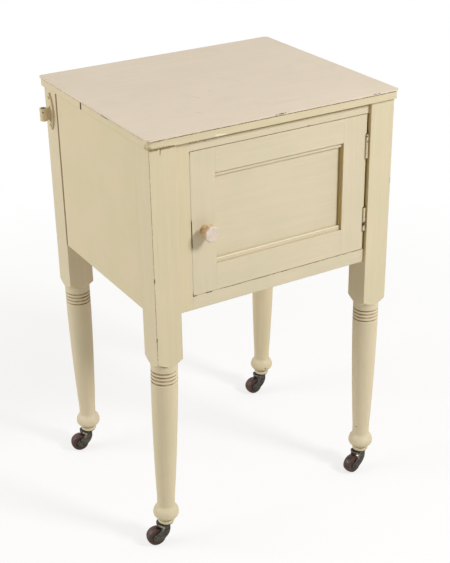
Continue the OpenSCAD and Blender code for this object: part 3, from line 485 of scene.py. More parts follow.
def top_covering(name, marks):
    """The thin pinkish covering of the top, rubbed matt, with fine scratches."""
    material, tree, shader, place = new_finish(name)
    brush = place_group(tree, BRUSHWORK, vector=place, grain=ALONG_TOP, shift=0.3)
    edge = place_group(tree, WORN_EDGE, vector=place, radius=1.2 * MM, wear=0.34)
    specks = place_group(tree, SPECKS, vector=place, spacing=60 * MM, size=0.9 * MM, share=0.3)
    cloud = ramp(tree, noise(tree, place, 5.5, 4, 0.55), 0.3, 0.7)
    colour = coat(tree, cloud, TOP_BEIGE, TOP_CLOUD)
    rubbed = ramp(tree, noise(tree, place, 23, 5, 0.6), 0.52, 0.7)
    colour = tint(tree, colour, rubbed, 0.3, TOP_RUBBED)
    colour = shaded(tree, colour, ramp(tree, brush["Streak"], 0.3, 0.7, 0.975, 1.02))
    colour = tint(tree, colour, specks["Mask"], 0.4, GRIME)
    colour = tint(tree, colour, edge["Mask"], 0.6, TOP_EDGE)
    colour, depth = draw_marks(tree, place, colour, marks)
    rough = blend(tree, rubbed, 0.62, 0.53)
    hollow = maths(tree, "MULTIPLY", depth, 2.0)
    height = maths(tree, "SUBTRACT", brush["Height"], hollow)
    finish_surface(
        tree, shader, colour, rough, height, edge["Normal"], strength=0.22, depth=0.18 * MM)
    shader["Specular IOR Level"].default_value = 0.33
    return material


def painted_metal(name, base, rust_share, shift, marks=()):
    """Iron painted over with the wood, the paint chipped and rust coming through."""
    material, tree, shader, place = new_finish(name)
    edge = place_group(tree, WORN_EDGE, vector=place, radius=0.7 * MM, wear=0.46)
    seam = place_group(tree, CREVICE_DIRT_AND_SHADE, vector=place, reach=6 * MM, shut=0.3)["Mask"]
    moved = vector_maths(tree, "ADD", place, (shift, shift, shift))
    blotch = ramp(tree, noise(tree, moved, 130, 5, 0.65), 1 - rust_share, 1.06 - rust_share)
    rust = coat(tree, noise(tree, moved, 700, 3), RUST, DARK_RUST)
    colour = coat(tree, noise(tree, moved, 60, 3), base, CREAM_PINK)
    colour = tint(tree, colour, seam, 0.85, RUSTY_SEAM)
    bare = maths(tree, "MAXIMUM", blotch, maths(tree, "MULTIPLY", edge["Mask"], 0.8))
    colour = coat(tree, bare, colour, rust)
    colour, depth = draw_marks(tree, place, colour, marks)
    rough = blend(tree, bare, 0.5, 0.85)
    hollow = maths(tree, "MAXIMUM", bare, depth)
    height = maths(tree, "SUBTRACT", noise(tree, moved, 450, 3), hollow)
    finish_surface(
        tree, shader, colour, rough, height, edge["Normal"], strength=0.5, depth=0.25 * MM)
    return material


def old_metal(name, dark, worn, stain, edge_wear, stain_share, marks=()):
    """Bare old metal: dark skin, worn bright on its arrises, with patches of rust or tarnish."""
    material, tree, shader, place = new_finish(name)
    edge = place_group(tree, WORN_EDGE, vector=place, radius=0.9 * MM, wear=edge_wear)
    seam = place_group(tree, CREVICE_DIRT_AND_SHADE, vector=place, reach=5 * MM, shut=0.25)["Mask"]
    skin = noise(tree, place, 160, 5, 0.65)
    patch = ramp(tree, noise(tree, place, 75, 4, 0.6), 1 - stain_share, 1.1 - stain_share)
    colour = coat(tree, ramp(tree, skin, 0.3, 0.7, 0.0, 0.35), dark, worn)
    colour = coat(tree, patch, colour, stain)
    colour = tint(tree, colour, edge["Mask"], 0.8, worn)
    colour = tint(tree, colour, seam, 0.8, METAL_SEAM)
    colour = draw_marks(tree, place, colour, marks)[0]
    bright = maths(tree, "MULTIPLY", edge["Mask"], 0.9)
    dull = maths(tree, "MAXIMUM", patch, seam)
    rough = blend(tree, dull, ramp(tree, skin, 0.3, 0.7, 0.34, 0.5), 0.75)
    finish_surface(
        tree, shader, colour, rough, skin, edge["Normal"], strength=0.45, depth=0.3 * MM)
    feed(tree, shader["Metallic"], blend(tree, dull, maths(tree, "MAXIMUM", bright, 0.35), 0.0))
    return material


def wheel_finish(name):
    """Turned wheel of brown hardwood fibre: dark, with a reddish bloom and a dull shine."""
    material, tree, shader, place = new_finish(name)
    edge = place_group(tree, WORN_EDGE, vector=place, radius=1 * MM, wear=0.55)
    seam = place_group(tree, CREVICE_DIRT_AND_SHADE, vector=place, reach=5 * MM, shut=0.25)["Mask"]
    bloom = ramp(tree, noise(tree, place, 85, 4, 0.6), 0.42, 0.62)
    colour = coat(tree, bloom, WHEEL_BROWN, WHEEL_RED)
    scuffs = ramp(tree, noise(tree, place, 420, 4, 0.7), 0.58, 0.75)
    colour = tint(tree, colour, scuffs, 0.5, WHEEL_SCUFF)
    colour = tint(tree, colour, edge["Mask"], 0.5, WHEEL_EDGE)
    colour = tint(tree, colour, seam, 0.8, WHEEL_SEAM)
    rough = ramp(tree, bloom, 0.0, 1.0, 0.36, 0.6)
    height = noise(tree, place, 300, 4, 0.65)
    finish_surface(
        tree, shader, colour, rough, height, edge["Normal"], strength=0.5, depth=0.4 * MM)
    return material


def knob_finish(name):
    """Pinkish white knob: mottled and clear on its face, orange brown towards the neck."""
    material, tree, shader, place = new_finish(name)
    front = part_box("knob")[0].y
    behind = ramp(tree, parted(tree, place)[1], front + 1 * MM, front + 6 * MM)
    uneven = noise(tree, place, 140, 4, 0.6)
    sway = maths(tree, "MULTIPLY", maths(tree, "SUBTRACT", uneven, 0.5), 0.5)
    behind = add(tree, "ShaderNodeClamp", {0: maths(tree, "ADD", behind, sway)}).outputs[0]
    face = coat(tree, ramp(tree, uneven, 0.35, 0.65), KNOB_WHITE, KNOB_GREY)
    face = tint(tree, face, ramp(tree, noise(tree, place, 300, 3), 0.5, 0.7), 0.3, KNOB_CLOUD)
    side = coat(tree, uneven, KNOB_STRAW, KNOB_AMBER)
    colour = coat(tree, behind, face, side)
    edge = place_group(tree, WORN_EDGE, vector=place, radius=1 * MM, wear=0.4)
    seam = place_group(tree, CREVICE_DIRT_AND_SHADE, vector=place, reach=5 * MM, shut=0.25)["Mask"]
    # painted highlight on the knob's arrises, where the worn-edge mask finds them
    colour = tint(tree, colour, edge["Mask"], 0.6, KNOB_EDGE_HIGHLIGHT)
    colour = tint(tree, colour, seam, 0.7, KNOB_SEAM)
    rough = ramp(tree, uneven, 0.3, 0.7, 0.22, 0.38)
    finish_surface(
        tree, shader, colour, rough, uneven, edge["Normal"], strength=0.25, depth=0.3 * MM)
    shader["Coat Weight"].default_value = 0.35
    shader["Coat Roughness"].default_value = 0.15
    return material


# ---------------------------------------------------------------- wear, painted shade and painted highlights that the photograph shows

# Heights of the middles of the ring grooves in every leg
RING_GROOVES = [height * MM for height in (349.2, 342.6, 336.0, 329.4)]

# Each mark: start and end in millimetres from the middle of the body, half width in millimetres,
# colour, strength, how ragged its sides are, and how much of its length is broken away
TOP_MARKS = [
    ((-73, -49, 757), (-64, -60, 757), 0.7, GRIME, 0.5, 0.4, 0.3),
    ((-34, -36, 757), (-29, -42, 757), 0.6, GRIME, 0.45, 0.4, 0.3),
    ((-108, -123, 757), (-99, -129, 757), 0.6, GRIME, 0.4, 0.4, 0.3),
    ((-11, -200.4, 756.4), (14, -200.4, 756.8), 1.3, BARE_WOOD, 0.7, 0.5, 0.42),
    ((-1, -200.4, 757), (4, -200.4, 757), 1.2, DARK_SEAM, 0.8, 0.4, 0.0),
    ((181, -200.4, 756.5), (193, -200.4, 756.5), 1.1, BARE_WOOD, 0.7, 0.5, 0.4),
    ((-234.2, -43, 753.8), (-234.2, -65, 753.8), 1.3, DARK_SEAM, 0.9, 0.4, 0.25),
    ((-234.2, -193, 753.8), (-234.2, 187, 753.8), 0.9, GRIME, 0.85, 0.5, 0.42),
    ((-225, -200.5, 753.8), (228, -200.5, 753.8), 0.8, DARK_SEAM, 0.8, 0.4, 0.4)]

BOARD_MARKS = [
    ((-232.4, 35.5, 752.5), (-232.4, 36.3, 742), 3.1, DEEP_SLIT, 1.0, 0.1, 0.0),
    ((-232.4, -43, 753), (-232.4, -65, 753), 1.3, DARK_SEAM, 0.9, 0.4, 0.25),
    ((-231, -194, 753.4), (-221, -198.7, 753.4), 1.2, BARE_WOOD, 0.7, 0.5, 0.3),
    ((-232, -191, 748), (-231, -194, 746), 1.5, GRIME, 0.6, 0.6, 0.2),
    ((-232.4, -189, 742.5), (-229, -197.6, 742), 3.6, CORNER_DIRT, 0.7, 0.5, 0.15),
    ((-228, -198.7, 742), (-196, -198.7, 741), 2.2, EDGE_DIRT, 0.6, 0.6, 0.3),
    ((-230, -197, 751), (-212, -198.7, 753), 2.2, PALE_DIRT, 0.6, 0.6, 0.35),
    ((-228, -198.7, 753.4), (228, -198.7, 753.4), 1.0, DARK_SEAM, 0.85, 0.4, 0.28),
    ((-232.4, -190, 753.4), (-232.4, 187, 753.4), 0.9, GRIME, 0.7, 0.5, 0.42),
    ((-116, -198.7, 743.4), (-99, -198.7, 741.8), 1.6, PALE_CHIP_AND_HIGHLIGHT, 0.9, 0.4, 0.0),
    ((-230, -198.7, 741.2), (-189, -198.7, 741.2), 0.9, DARK_SEAM, 0.7, 0.4, 0.4)]

FRONT_LEFT_MARKS = [
    ((-229, -193.5, 384), (-229, -193.5, 744), 0.55, WORN_ARRIS, 0.85, 0.5, 0.36),
    ((-229, -193.5, 360), (-229, -193.5, 420), 0.8, WORN_ARRIS, 0.7, 0.5, 0.42),
    ((-229, -193.5, 521), (-229, -193.5, 526), 1.5, DARK_SEAM, 0.9, 0.4, 0.0),
    ((-229, -193.5, 416), (-229, -193.5, 421), 1.5, DARK_SEAM, 0.9, 0.4, 0.0),
    ((-226, -193.5, 369.6), (-213, -193.5, 363.6), 1.1, DARK_SEAM, 0.8, 0.4, 0.0),
    # the next mark is painted shadow under the overhang of the top
    ((-228, -193.5, 737.8), (-186, -193.5, 737.8), 1.8, GOLDEN_DIRT_AND_SHADE, 0.6, 0.7, 0.4),
    ((-209.4, -193.5, 741), (-210, -193.5, 729), 0.8, DARK_SEAM, 0.8, 0.4, 0.0)]

FRONT_RIGHT_MARKS = [
    # the first three marks are painted shade on the post's side in the hinge gap
    ((183, -188.3, 457), (183, -188.3, 740), 4.2, PALE_GAP_SHADE, 0.8, 0.05, 0.0),
    ((183, -179, 457), (183, -179, 740), 6.5, GOLDEN_DIRT_AND_SHADE, 0.7, 0.05, 0.0),
    ((183, -183.4, 457), (183, -183.4, 740), 2.4, OLIVE_GAP_SHADE, 0.9, 0.05, 0.0),
    ((229, -193.5, 599), (229, -193.5, 591), 1.2, GRIME, 0.8, 0.4, 0.0),
    ((191.6, -175.8, 98.9), (191.6, -175.8, 98.8), 1.6, DARK_SEAM, 0.8, 0.3, 0.0)]

REAR_LEFT_MARKS = [
    ((-229, 148.6, 457), (-229, 148.6, 740), 1.0, SHRUNK_SEAM, 0.8, 0.3, 0.0)]

LEFT_BOARD_MARKS = [
    ((-229, 145.8, 457), (-229, 145.8, 740), 2.0, OPEN_SEAM, 0.85, 0.3, 0.0)]

REAR_RIGHT_MARKS = [
    ((197.1, 148.7, 62.8), (197.1, 148.7, 62.7), 1.8, DARK_SEAM, 0.8, 0.3, 0.0)]

TOP_RAIL_MARKS = [
    # the first two marks are painted shadow under the overhang of the top; the third is a soft
    # darker blot under it
    ((-182, -187.9, 735), (-128, -187.9, 735), 1.9, GOLDEN_DIRT_AND_SHADE, 0.55, 0.7, 0.4),
    ((-104, -187.9, 735.8), (181, -187.9, 735.8), 1.5, GOLDEN_DIRT_AND_SHADE, 0.6, 0.2, 0.0),
    ((-125, -187.9, 736.5), (-109, -187.9, 735.5), 3.0, GRIME, 0.35, 0.5, 0.0),
    ((60, -187.9, 721.9), (63, -187.9, 721.9), 0.9, DARK_SEAM, 0.9, 0.3, 0.0)]

LOCK_STILE_MARKS = [
    ((-156.8, -187.9, 561), (-156.8, -187.9, 605), 0.9, DARK_SEAM, 0.9, 0.4, 0.25)]

BOTTOM_RAIL_MARKS = [
    ((-158, -187.9, 476.2), (-153, -187.9, 476.2), 1.3, DARK_SEAM, 0.9, 0.4, 0.0),
    ((-133, -187.9, 476), (-124, -187.9, 476), 1.2, DARK_SEAM, 0.85, 0.5, 0.3),
    ((-100, -187.9, 476), (177, -187.9, 476), 0.7, DARK_SEAM, 0.6, 0.5, 0.46)]

# painted shade on the hinge stile's edge that faces the panel
HINGE_STILE_SHADE = [
    ((132.8, -185.2, 530), (132.8, -185.2, 671), 2.0, GOLDEN_SHADE_TINT, 0.85, 0.05, 0.0)]

# painted shade along the panel's edge beside the right moulding
PANEL_SHADE = [
    ((129.9, -178.9, 530), (129.9, -178.9, 671), 0.8, GOLDEN_DIRT_AND_SHADE, 0.85, 0.1, 0.0)]

# painted shade on the face of the right moulding
RIGHT_MOULDING_SHADE = [
    ((130.4, -181.6, 530), (130.4, -181.6, 671), 2.8, MOULDING_SHADE_TINT, 0.9, 0.05, 0.0)]

# a painted highlight along the top of the bottom moulding
BOTTOM_MOULDING_HIGHLIGHT = [
    ((-110, -183.6, 530.4), (129, -183.6, 530.4), 0.9, PALE_CHIP_AND_HIGHLIGHT, 0.8, 0.15, 0.0)]

# a dark mark down the bracket's bore: painted shade inside it, with dirt round its mouth
BRACKET_MARKS = [
    ((-243.5, 170.5, 712), (-243.5, 170.5, 690), 5.0, BORE_SHADE_AND_DIRT, 1.0, 0.0, 0.0)]

UPPER_HINGE_MARKS = [((175, -190.3, 680), (179, -191, 683), 1.6, HINGE_RUST, 0.9, 0.5, 0.0)]
LOWER_HINGE_MARKS = [((176, -190.3, 523), (180, -191, 526), 3.4, HINGE_GREASE, 1.0, 0.2, 0.0)]


# ---------------------------------------------------------------- which piece has which finish

def dress(name, material):
    """Gives a CAD piece its finish."""
    slots = NODES[name].data.materials
    slots.clear()
    slots.append(material)


def horn_marks(corner):
    """Bright worn metal with a painted highlight where the crown of a horn bends into its arm, and
    a painted shadow under the collar above it.
    """
    low = (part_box("castor_horn_" + corner)[0] - BODY) / MM

    def beside(x, y, z):
        return low + Vector((x, y, z))

    return [
        (beside(14.0, 1.5, 32.6), beside(30.0, 1.0, 32.6), 1.7, COLLAR_SHADOW, 0.95, 0.3, 0.0),
        (beside(8.0, 8.0, 31.9), beside(14.0, 3.5, 31.5), 1.2, RUBBED_IRON_AND_HIGHLIGHT, 0.5, 0.5, 0.2),
        (beside(14.0, 3.5, 30.5), beside(19.0, 1.8, 26.5), 2.0, RUBBED_IRON_AND_HIGHLIGHT, 0.75, 0.4, 0.0),
        (beside(19.0, 1.8, 26.5), beside(16.5, 2.1, 20.5), 1.3, RUBBED_IRON_AND_HIGHLIGHT, 0.5, 0.5, 0.2)]


def dress_pieces():
    """Finishes every piece. Boards have their patterns shifted, so that they do not match."""
    dress("top_sheet", top_covering("top covering", TOP_MARKS))
    dress("top_board", painted(
        "top edge paint", CREAM, LEVEL, shift=0.1, wear=0.42, marks=BOARD_MARKS))
    legs = {
        "leg_front_left": (SOFT_CREAM, FRONT_LEFT_MARKS),
        "leg_front_right": (PALE_CREAM, FRONT_RIGHT_MARKS),
        "leg_rear_left": (CLEAN_CREAM, REAR_LEFT_MARKS),
        "leg_rear_right": (CREAM, REAR_RIGHT_MARKS)}
    for number, (leg, (base, marks)) in enumerate(legs.items()):
        dress(leg, painted(
            leg + " paint", base, UPRIGHT, shift=0.21 * number, marks=marks,
            rings=RING_GROOVES))
    for number, (side, marks) in enumerate((("left", LEFT_BOARD_MARKS), ("right", ()))):
        board = "side_panel_" + side
        dress(board, painted(
            board + " paint", CREAM, UPRIGHT, shift=1.3 + 0.7 * number, wear=0.3, dirt_and_shade=0.85,
            marks=marks, streaks=0.5))

    level_boards = {
        "front_top_rail": (0.9, TOP_RAIL_MARKS),
        "front_bottom_rail": (0.9, BOTTOM_RAIL_MARKS),
        "door_top_rail": (0.9, ()),
        "door_bottom_rail": (0.4, ()),
        "door_panel": (0.5, PANEL_SHADE),
        "moulding_top": (0.9, ()),
        "moulding_bottom": (0.3, BOTTOM_MOULDING_HIGHLIGHT)}
    for number, (board, (dirt_and_shade, marks)) in enumerate(level_boards.items()):
        dress(board, painted(
            board + " paint", DOOR_CREAM, LEVEL, shift=0.37 * number, dirt_and_shade=dirt_and_shade, marks=marks))
    upright_boards = {
        "closing_stile": (CREAM, ()),
        "door_lock_stile": (DOOR_CREAM, LOCK_STILE_MARKS),
        "door_hinge_stile": (DOOR_CREAM, HINGE_STILE_SHADE),
        "moulding_left": (DOOR_CREAM, ()),
        "moulding_right": (DOOR_CREAM, RIGHT_MOULDING_SHADE)}
    for number, (board, (base, marks)) in enumerate(upright_boards.items()):
        dress(board, painted(
            board + " paint", base, UPRIGHT, shift=0.43 * number, marks=marks))

    hidden = {
        "back_panel": UPRIGHT, "floor_board": LEVEL, "door_stop": LEVEL,
        "rear_top_rail": LEVEL, "rear_bottom_rail": LEVEL,
        "floor_bearer_left": DEEP, "floor_bearer_right": DEEP,
        "top_cleat_left": DEEP, "top_cleat_right": DEEP}
    for number, (board, grain) in enumerate(hidden.items()):
        dress(board, bare_timber(board + " timber", grain, shift=0.57 * number))

    for number, height in enumerate(("upper", "lower")):
        marks = (UPPER_HINGE_MARKS, LOWER_HINGE_MARKS)[number]
        for leaf in ("hinge_post_leaf_", "hinge_door_leaf_"):
            name = leaf + height
            dress(name, painted_metal(
                name + " paint", CREAM, rust_share=0.42, shift=0.3 * number, marks=marks))
        dress("hinge_pin_" + height, STEEL)
    dress("pole_bracket", painted_metal(
        "pole bracket paint", BRACKET_PAINT, rust_share=0.34, shift=0.7, marks=BRACKET_MARKS))

    dress("knob", knob_finish("knob"))
    dress("knob_rose", painted_metal(
        "knob rose paint", ROSE_PAINT, rust_share=0.3, shift=1.1))
    dress("knob_spindle", BRASS)
    dress("catch_tongue", BRASS)
    for corner in ("front_left", "front_right", "rear_left", "rear_right"):
        dress("castor_wheel_" + corner, WHEEL)
        dress("castor_axle_" + corner, IRON)
        dress("castor_socket_" + corner, IRON)
        dress("castor_horn_" + corner, old_metal(
            "horn iron " + corner, *IRON_TONES, **IRON_WEAR, marks=horn_marks(corner)))


STEEL = old_metal("dull steel", *STEEL_TONES, edge_wear=0.5, stain_share=0.35)
BRASS = old_metal("old brass", *BRASS_TONES, edge_wear=0.5, stain_share=0.5)
IRON = old_metal("castor iron", *IRON_TONES, **IRON_WEAR)
WHEEL = wheel_finish("castor wheel")
dress_pieces()


# ---------------------------------------------------------------- screws

# How far the faces that the screws sit on stand off the wood
PLATE_THICKNESS = 3.15 * MM
LEAF_THICKNESS = 1.55 * MM

# Places of the screws: from the middle of the plate or leaf, and from the leaf's rear edge
PLATE_STEP = 25 * MM
LEAF_STEP = 14 * MM
LEAF_INSET = 5.5 * MM

# Diameter and height of the heads
BRACKET_HEAD = (6.4 * MM, 0.7 * MM)
LEAF_HEAD = (4.6 * MM, 0.25 * MM)

HEAD_TAPER = 0.84         # the top of a head over its foot
SLOT_LENGTH = 1.2         # the cutter of the slot over the head's diameter
SLOT_WIDTH = 0.14         # the slot over the head's diameter
SLOT_DEPTH = 0.7          # the slot over the head's height


def make_screw_tree():
    """Slotted screw heads on points, each turned its own way about the direction it faces."""
    tree = bpy.data.node_groups.new("slotted screws", "GeometryNodeTree")
    sizes = {
        "Head Diameter": 6.5 * MM, "Head Height": 0.6 * MM, "Slot Width": 0.9 * MM,
        "Slot Depth": 0.4 * MM}
    tree.interface.new_socket("Points", in_out="INPUT", socket_type="NodeSocketGeometry")
    for name, value in sizes.items():
        socket = tree.interface.new_socket(name, in_out="INPUT", socket_type="NodeSocketFloat")
        socket.default_value = value
    seed = tree.interface.new_socket("Seed", in_out="INPUT", socket_type="NodeSocketInt")
    seed.default_value = 3
    tree.interface.new_socket("Finish", in_out="INPUT", socket_type="NodeSocketMaterial")
    tree.interface.new_socket("Screws", in_out="OUTPUT", socket_type="NodeSocketGeometry")
    come = tree.nodes.new("NodeGroupInput").outputs
    go = tree.nodes.new("NodeGroupOutput").inputs

    half = maths(tree, "DIVIDE", come["Head Diameter"], 2.0)
    head = add(
        tree, "GeometryNodeMeshCone",
        {"Vertices": 28, "Side Segments": 1, "Fill Segments": 1,
         "Radius Top": maths(tree, "MULTIPLY", half, HEAD_TAPER), "Radius Bottom": half,
         "Depth": come["Head Height"]}, fill_type="NGON").outputs["Mesh"]
    slot_size = add(
        tree, "ShaderNodeCombineXYZ",
        {0: maths(tree, "MULTIPLY", come["Head Diameter"], SLOT_LENGTH), 1: come["Slot Width"],
         2: maths(tree, "MULTIPLY", come["Slot Depth"], 2.0)}).outputs[0]
    slot = add(tree, "GeometryNodeMeshCube", {"Size": slot_size}).outputs["Mesh"]
    lift = add(tree, "ShaderNodeCombineXYZ", {2: come["Head Height"]}).outputs[0]
    slot = add(tree, "GeometryNodeTransform", {"Geometry": slot, "Translation": lift})
    cut = add(tree, "GeometryNodeMeshBoolean", {}, operation="DIFFERENCE")
    tree.links.new(head, cut.inputs[0])
    tree.links.new(slot.outputs[0], cut.inputs[1])

    facing = add(
        tree, "GeometryNodeInputNamedAttribute",
        {"Name": "facing"}, data_type="FLOAT_VECTOR")
    turned = add(
        tree, "FunctionNodeAlignRotationToVector",
        {"Vector": facing.outputs["Attribute"]}, axis="Z").outputs[0]
    quarter = add(
        tree, "FunctionNodeRandomValue",
        {"Min": (0, 0, 0), "Max": (0, 0, math.pi), "Seed": come["Seed"]}, data_type="FLOAT_VECTOR")
    twist = add(tree, "FunctionNodeEulerToRotation", {0: quarter.outputs[0]}).outputs[0]
    turned = add(
        tree, "FunctionNodeRotateRotation",
        {0: turned, 1: twist}, rotation_space="LOCAL").outputs[0]
    placed = add(
        tree, "GeometryNodeInstanceOnPoints",
        {"Points": come["Points"], "Instance": cut.outputs[0], "Rotation": turned}).outputs[0]
    real = add(tree, "GeometryNodeRealizeInstances", {"Geometry": placed}).outputs[0]
    finished = add(
        tree, "GeometryNodeSetMaterial", {"Geometry": real, "Material": come["Finish"]}).outputs[0]
    tree.links.new(finished, go["Screws"])
    return tree


def set_down(name, data):
    """A new object in the scene."""
    thing = bpy.data.objects.new(name, data)
    bpy.context.collection.objects.link(thing)
    return thing


def screw_heads(name, body, material, spots, facing, head_size):
    """One mesh of screw heads for a body. Spots are the middles of the heads' feet."""
    diameter, height = head_size
    points = bpy.data.meshes.new(name)
    points.from_pydata([Vector(spot) + Vector(facing) * height / 2 for spot in spots], [], [])
    attribute = points.attributes.new("facing", "FLOAT_VECTOR", "POINT")
    for number in range(len(spots)):
        attribute.data[number].vector = facing
    carrier = set_down(name + " points", points)
    modifier = carrier.modifiers.new("screws", "NODES")
    modifier.node_group = SCREW_TREE
    values = {
        "Head Diameter": diameter, "Head Height": height, "Finish": material,
        "Slot Width": SLOT_WIDTH * diameter, "Slot Depth": SLOT_DEPTH * height}
    for item in SCREW_TREE.interface.items_tree:
        if item.in_out == "INPUT" and item.name in values:
            modifier[item.identifier] = values[item.name]
    settled = carrier.evaluated_get(bpy.context.evaluated_depsgraph_get())
    mesh = bpy.data.meshes.new_from_object(settled)
    bpy.data.objects.remove(carrier)
    heads = set_down(name, mesh)
    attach(heads, body)


def fit_screws():
    """Two screws hold the pole bracket, and three hold each leaf of the hinges."""
    low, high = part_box("pole_bracket")
    plate_face = high.x - PLATE_THICKNESS
    middle_y = (low.y + high.y) / 2
    middle_z = (low.z + high.z) / 2
    screws = [(plate_face, middle_y, middle_z + step) for step in (PLATE_STEP, -PLATE_STEP)]
    screw_heads(
        "bracket_screws", "cupboard",
        painted_metal("bracket screw paint", BRACKET_SCREW_PAINT, rust_share=0.45, shift=1.7),
        screws, (-1, 0, 0), BRACKET_HEAD)
    leaf_screw = painted_metal(
        "hinge screw paint", HINGE_SCREW_PAINT, rust_share=0.5, shift=2.3)
    for height in ("upper", "lower"):
        post_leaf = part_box("hinge_post_leaf_" + height)
        door_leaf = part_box("hinge_door_leaf_" + height)
        middle = (post_leaf[0].z + post_leaf[1].z) / 2
        row_y = post_leaf[1].y - LEAF_INSET
        steps = [middle + step for step in (-LEAF_STEP, 0, LEAF_STEP)]
        post = [(post_leaf[1].x - LEAF_THICKNESS, row_y, z) for z in steps]
        door = [(door_leaf[0].x + LEAF_THICKNESS, row_y, z) for z in steps]
        screw_heads(
            f"post_leaf_screws_{height}", "cupboard", leaf_screw,
            post, (-1, 0, 0), LEAF_HEAD)
        screw_heads(
            f"door_leaf_screws_{height}", "door", leaf_screw,
            door, (1, 0, 0), LEAF_HEAD)


SCREW_TREE = make_screw_tree()
fit_screws()


# ---------------------------------------------------------------- paint dried in the door's gaps, and painted shade in the bottom gap

BEAD_STEP = 2 * MM        # between two stations
BEAD_TAPER = 6 * MM       # over which a run grows to its full reach
BEAD_HOLD = 0.3 * MM      # how far a run reaches into the door
BEAD_DEPTH = 3 * MM       # from its front to its back
BEAD_TIP = 0.15           # share of the reach that a run begins and ends with
BEAD_SWAY = (0.86, 1.0)   # share of the reach that a station has, at least and at most
BEAD_SUNK = (0.02, 0.16)  # millimetres that its front lies behind its line, at least and at most


def bead_stations(start, end, outward, reach, dice):
    """Corners of a run of dried paint, station by station: ragged, and tapered at both ends."""
    length = (end - start).length
    count = max(4, round(length / BEAD_STEP))
    inner = -BEAD_HOLD * outward
    back = Vector((0, BEAD_DEPTH, 0))
    stations = []
    for number in range(count + 1):
        share = number / count
        from_end = min(share, 1 - share) * length
        full = min(1.0, BEAD_TIP + from_end / BEAD_TAPER)
        far = reach * MM * full * dice.uniform(*BEAD_SWAY) * outward
        front = Vector((0, dice.uniform(*BEAD_SUNK) * MM, 0))
        spot = start.lerp(end, share)
        corners = (inner + front, far + front, far + back, inner + back)
        stations.append([spot + corner for corner in corners])
    return stations


def dry_paint(name, material, runs):
    """One mesh of strips in the gap round the door, which moves with the door: dried paint, and a
    brown strip of painted shade.
    """
    dice = random.Random(11)
    shape = bmesh.new()
    for start, end, outward, reach in runs:
        stations = bead_stations(on_body(start), on_body(end), Vector(outward), reach, dice)
        rings = [[shape.verts.new(corner) for corner in station] for station in stations]
        for one, two in zip(rings, rings[1:]):
            for side in range(4):
                after = (side + 1) % 4
                shape.faces.new((one[side], one[after], two[after], two[side]))
        shape.faces.new(rings[0])
        shape.faces.new(rings[-1])
    bmesh.ops.recalc_face_normals(shape, faces=shape.faces)
    mesh = bpy.data.meshes.new(name)
    shape.to_mesh(mesh)
    shape.free()
    mesh.materials.append(material)
    beads = set_down(name, mesh)
    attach(beads, "door")


DRIED_PAINT = painted("dried paint", DOOR_CREAM, UPRIGHT, shift=0.9, wear=0.0, dirt_and_shade=0.0)
dry_paint("dried_paint", DRIED_PAINT, [
    ((-156.8, -187.9, 480), (-156.8, -187.9, 559), (-1, 0, 0), 1.1),
    ((-156.8, -187.9, 607), (-156.8, -187.9, 718), (-1, 0, 0), 1.1),
    ((-152.5, -187.9, 477), (-133.5, -187.9, 477), (0, 0, -1), 0.85),
    ((-123.5, -187.9, 477), (-104, -187.9, 477), (0, 0, -1), 0.85)])

# a brown strip along the bottom gap: painted shade where the gap's depth is dark
BROWN_GAP_SHADE = painted("brown shade in the gap", GAP_SHADE_BROWN, LEVEL, shift=0.5, wear=0.3, dirt_and_shade=0.6)
dry_paint("brown_gap_shade", BROWN_GAP_SHADE, [
    ((-103, -187.6, 477), (22, -187.6, 477), (0, 0, -1), 0.6),
    ((26, -187.6, 477), (176, -187.6, 477), (0, 0, -1), 0.6)])


# ---------------------------------------------------------------- floor, light and camera

FLOOR_REACH = 9.0
FLOOR_HEIGHT = -0.2 * MM  # a little below the wheels
FLOOR_IN_LIGHT = (0.76, 0.74, 0.68, 1)
FLOOR_TO_CAMERA = (0.95, 0.95, 0.95, 1)
WARM_SKY = (1.0, 0.955, 0.86, 1)
WHITE = (1, 1, 1, 1)
LAMP_DISTANCE = 3.0
LAMP_AIM = Vector((0, 0, 0.45))

# The camera that took the photograph: millimetres from the middle of the body, and degrees
CAMERA_PLACE = (-975.79, -1671.54, 1337.95)
CAMERA_TURN = (63.727, 0.797, -31.004)
CAMERA_LENS = 94.72
SENSOR_WIDTH = 36


def lay_floor():
    """Wide pale floor: white to the camera, but it keeps part of the cupboard's shadow."""
    mesh = bpy.data.meshes.new("floor")
    quarters = ((-1, -1), (1, -1), (1, 1), (-1, 1))
    corners = [(FLOOR_REACH * x, FLOOR_REACH * y, FLOOR_HEIGHT) for x, y in quarters]
    mesh.from_pydata(corners, [], [(0, 1, 2, 3)])
    floor = set_down("floor", mesh)
    material = bpy.data.materials.new("pale floor")
    material.use_nodes = True
    tree = material.node_tree
    tree.nodes.clear()
    place = tree.nodes.new("ShaderNodeTexCoord").outputs["Object"]
    away = vector_maths(tree, "LENGTH", place)
    far = ramp(tree, away, 0.5, 1.6, 0.72, 1.0)    # whiter between 0.5 and 1.6 metres away
    seen = tree.nodes.new("ShaderNodeLightPath").outputs["Is Camera Ray"]
    colour = coat(tree, seen, FLOOR_IN_LIGHT, FLOOR_TO_CAMERA)
    matt = add(tree, "ShaderNodeBsdfDiffuse", {"Color": colour}).outputs[0]
    white = add(tree, "ShaderNodeEmission", {"Color": WHITE, "Strength": 1.0}).outputs[0]
    share = maths(tree, "MULTIPLY", seen, far)
    mixed = add(tree, "ShaderNodeMixShader", {0: share, 1: matt, 2: white}).outputs[0]
    out = add(tree, "ShaderNodeOutputMaterial", {})
    tree.links.new(mixed, out.inputs["Surface"])
    mesh.materials.append(material)


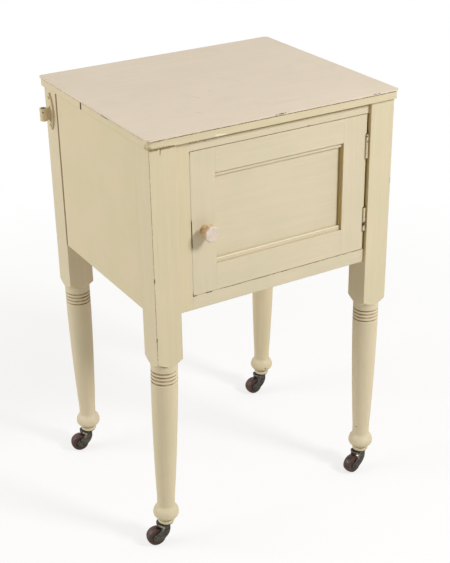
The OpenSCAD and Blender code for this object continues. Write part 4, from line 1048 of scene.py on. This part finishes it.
def light_world(ambient):
    """Even light from all round, and plain white for what sees the background."""
    world = bpy.data.worlds.new("studio")
    bpy.context.scene.world = world
    world.use_nodes = True
    tree = world.node_tree
    tree.nodes.clear()
    path = tree.nodes.new("ShaderNodeLightPath").outputs
    seen = maths(tree, "MAXIMUM", path["Is Camera Ray"], path["Is Glossy Ray"])
    seen = maths(tree, "MAXIMUM", seen, path["Is Transmission Ray"])
    colour = coat(tree, seen, WARM_SKY, WHITE)
    strength = blend(tree, seen, ambient, 1.0)
    sky = add(tree, "ShaderNodeBackground", {"Color": colour, "Strength": strength}).outputs[0]
    out = add(tree, "ShaderNodeOutputWorld", {})
    tree.links.new(sky, out.inputs["Surface"])


def soft_light(name, azimuth, elevation, share, size):
    """A square lamp that faces the cupboard.

    Azimuth runs from straight in front of the door towards the right, and elevation
    up from the floor, in degrees. Share is how much of a colour it shows face on.
    """
    lamp = bpy.data.lights.new(name, "AREA")
    lamp.size = size
    lamp.energy = share * math.pi ** 2 * LAMP_DISTANCE ** 2
    holder = set_down(name, lamp)
    turn = math.radians(azimuth)
    rise = math.radians(elevation)
    level = math.cos(rise)
    way = Vector((math.sin(turn) * level, -math.cos(turn) * level, math.sin(rise)))
    holder.location = BODY + LAMP_AIM + way * LAMP_DISTANCE
    holder.rotation_euler = way.to_track_quat("Z", "Y").to_euler()


def stand_camera():
    """The camera stands to the front left and looks down on the top."""
    camera = set_down("camera", bpy.data.cameras.new("camera"))
    camera.data.sensor_fit = "HORIZONTAL"
    camera.data.sensor_width = SENSOR_WIDTH
    camera.data.lens = CAMERA_LENS
    camera.location = on_body(CAMERA_PLACE)
    camera.rotation_euler = [math.radians(angle) for angle in CAMERA_TURN]
    bpy.context.scene.camera = camera


lay_floor()
light_world(ambient=0.4)
soft_light("key from the front right", azimuth=29, elevation=35, share=0.61, size=0.6)
soft_light("fill from the left", azimuth=-112, elevation=25, share=0.5, size=2.0)
soft_light("fill from the right", azimuth=85, elevation=30, share=0.12, size=2.0)
stand_camera()
bpy.context.scene.view_settings.view_transform = "Standard"
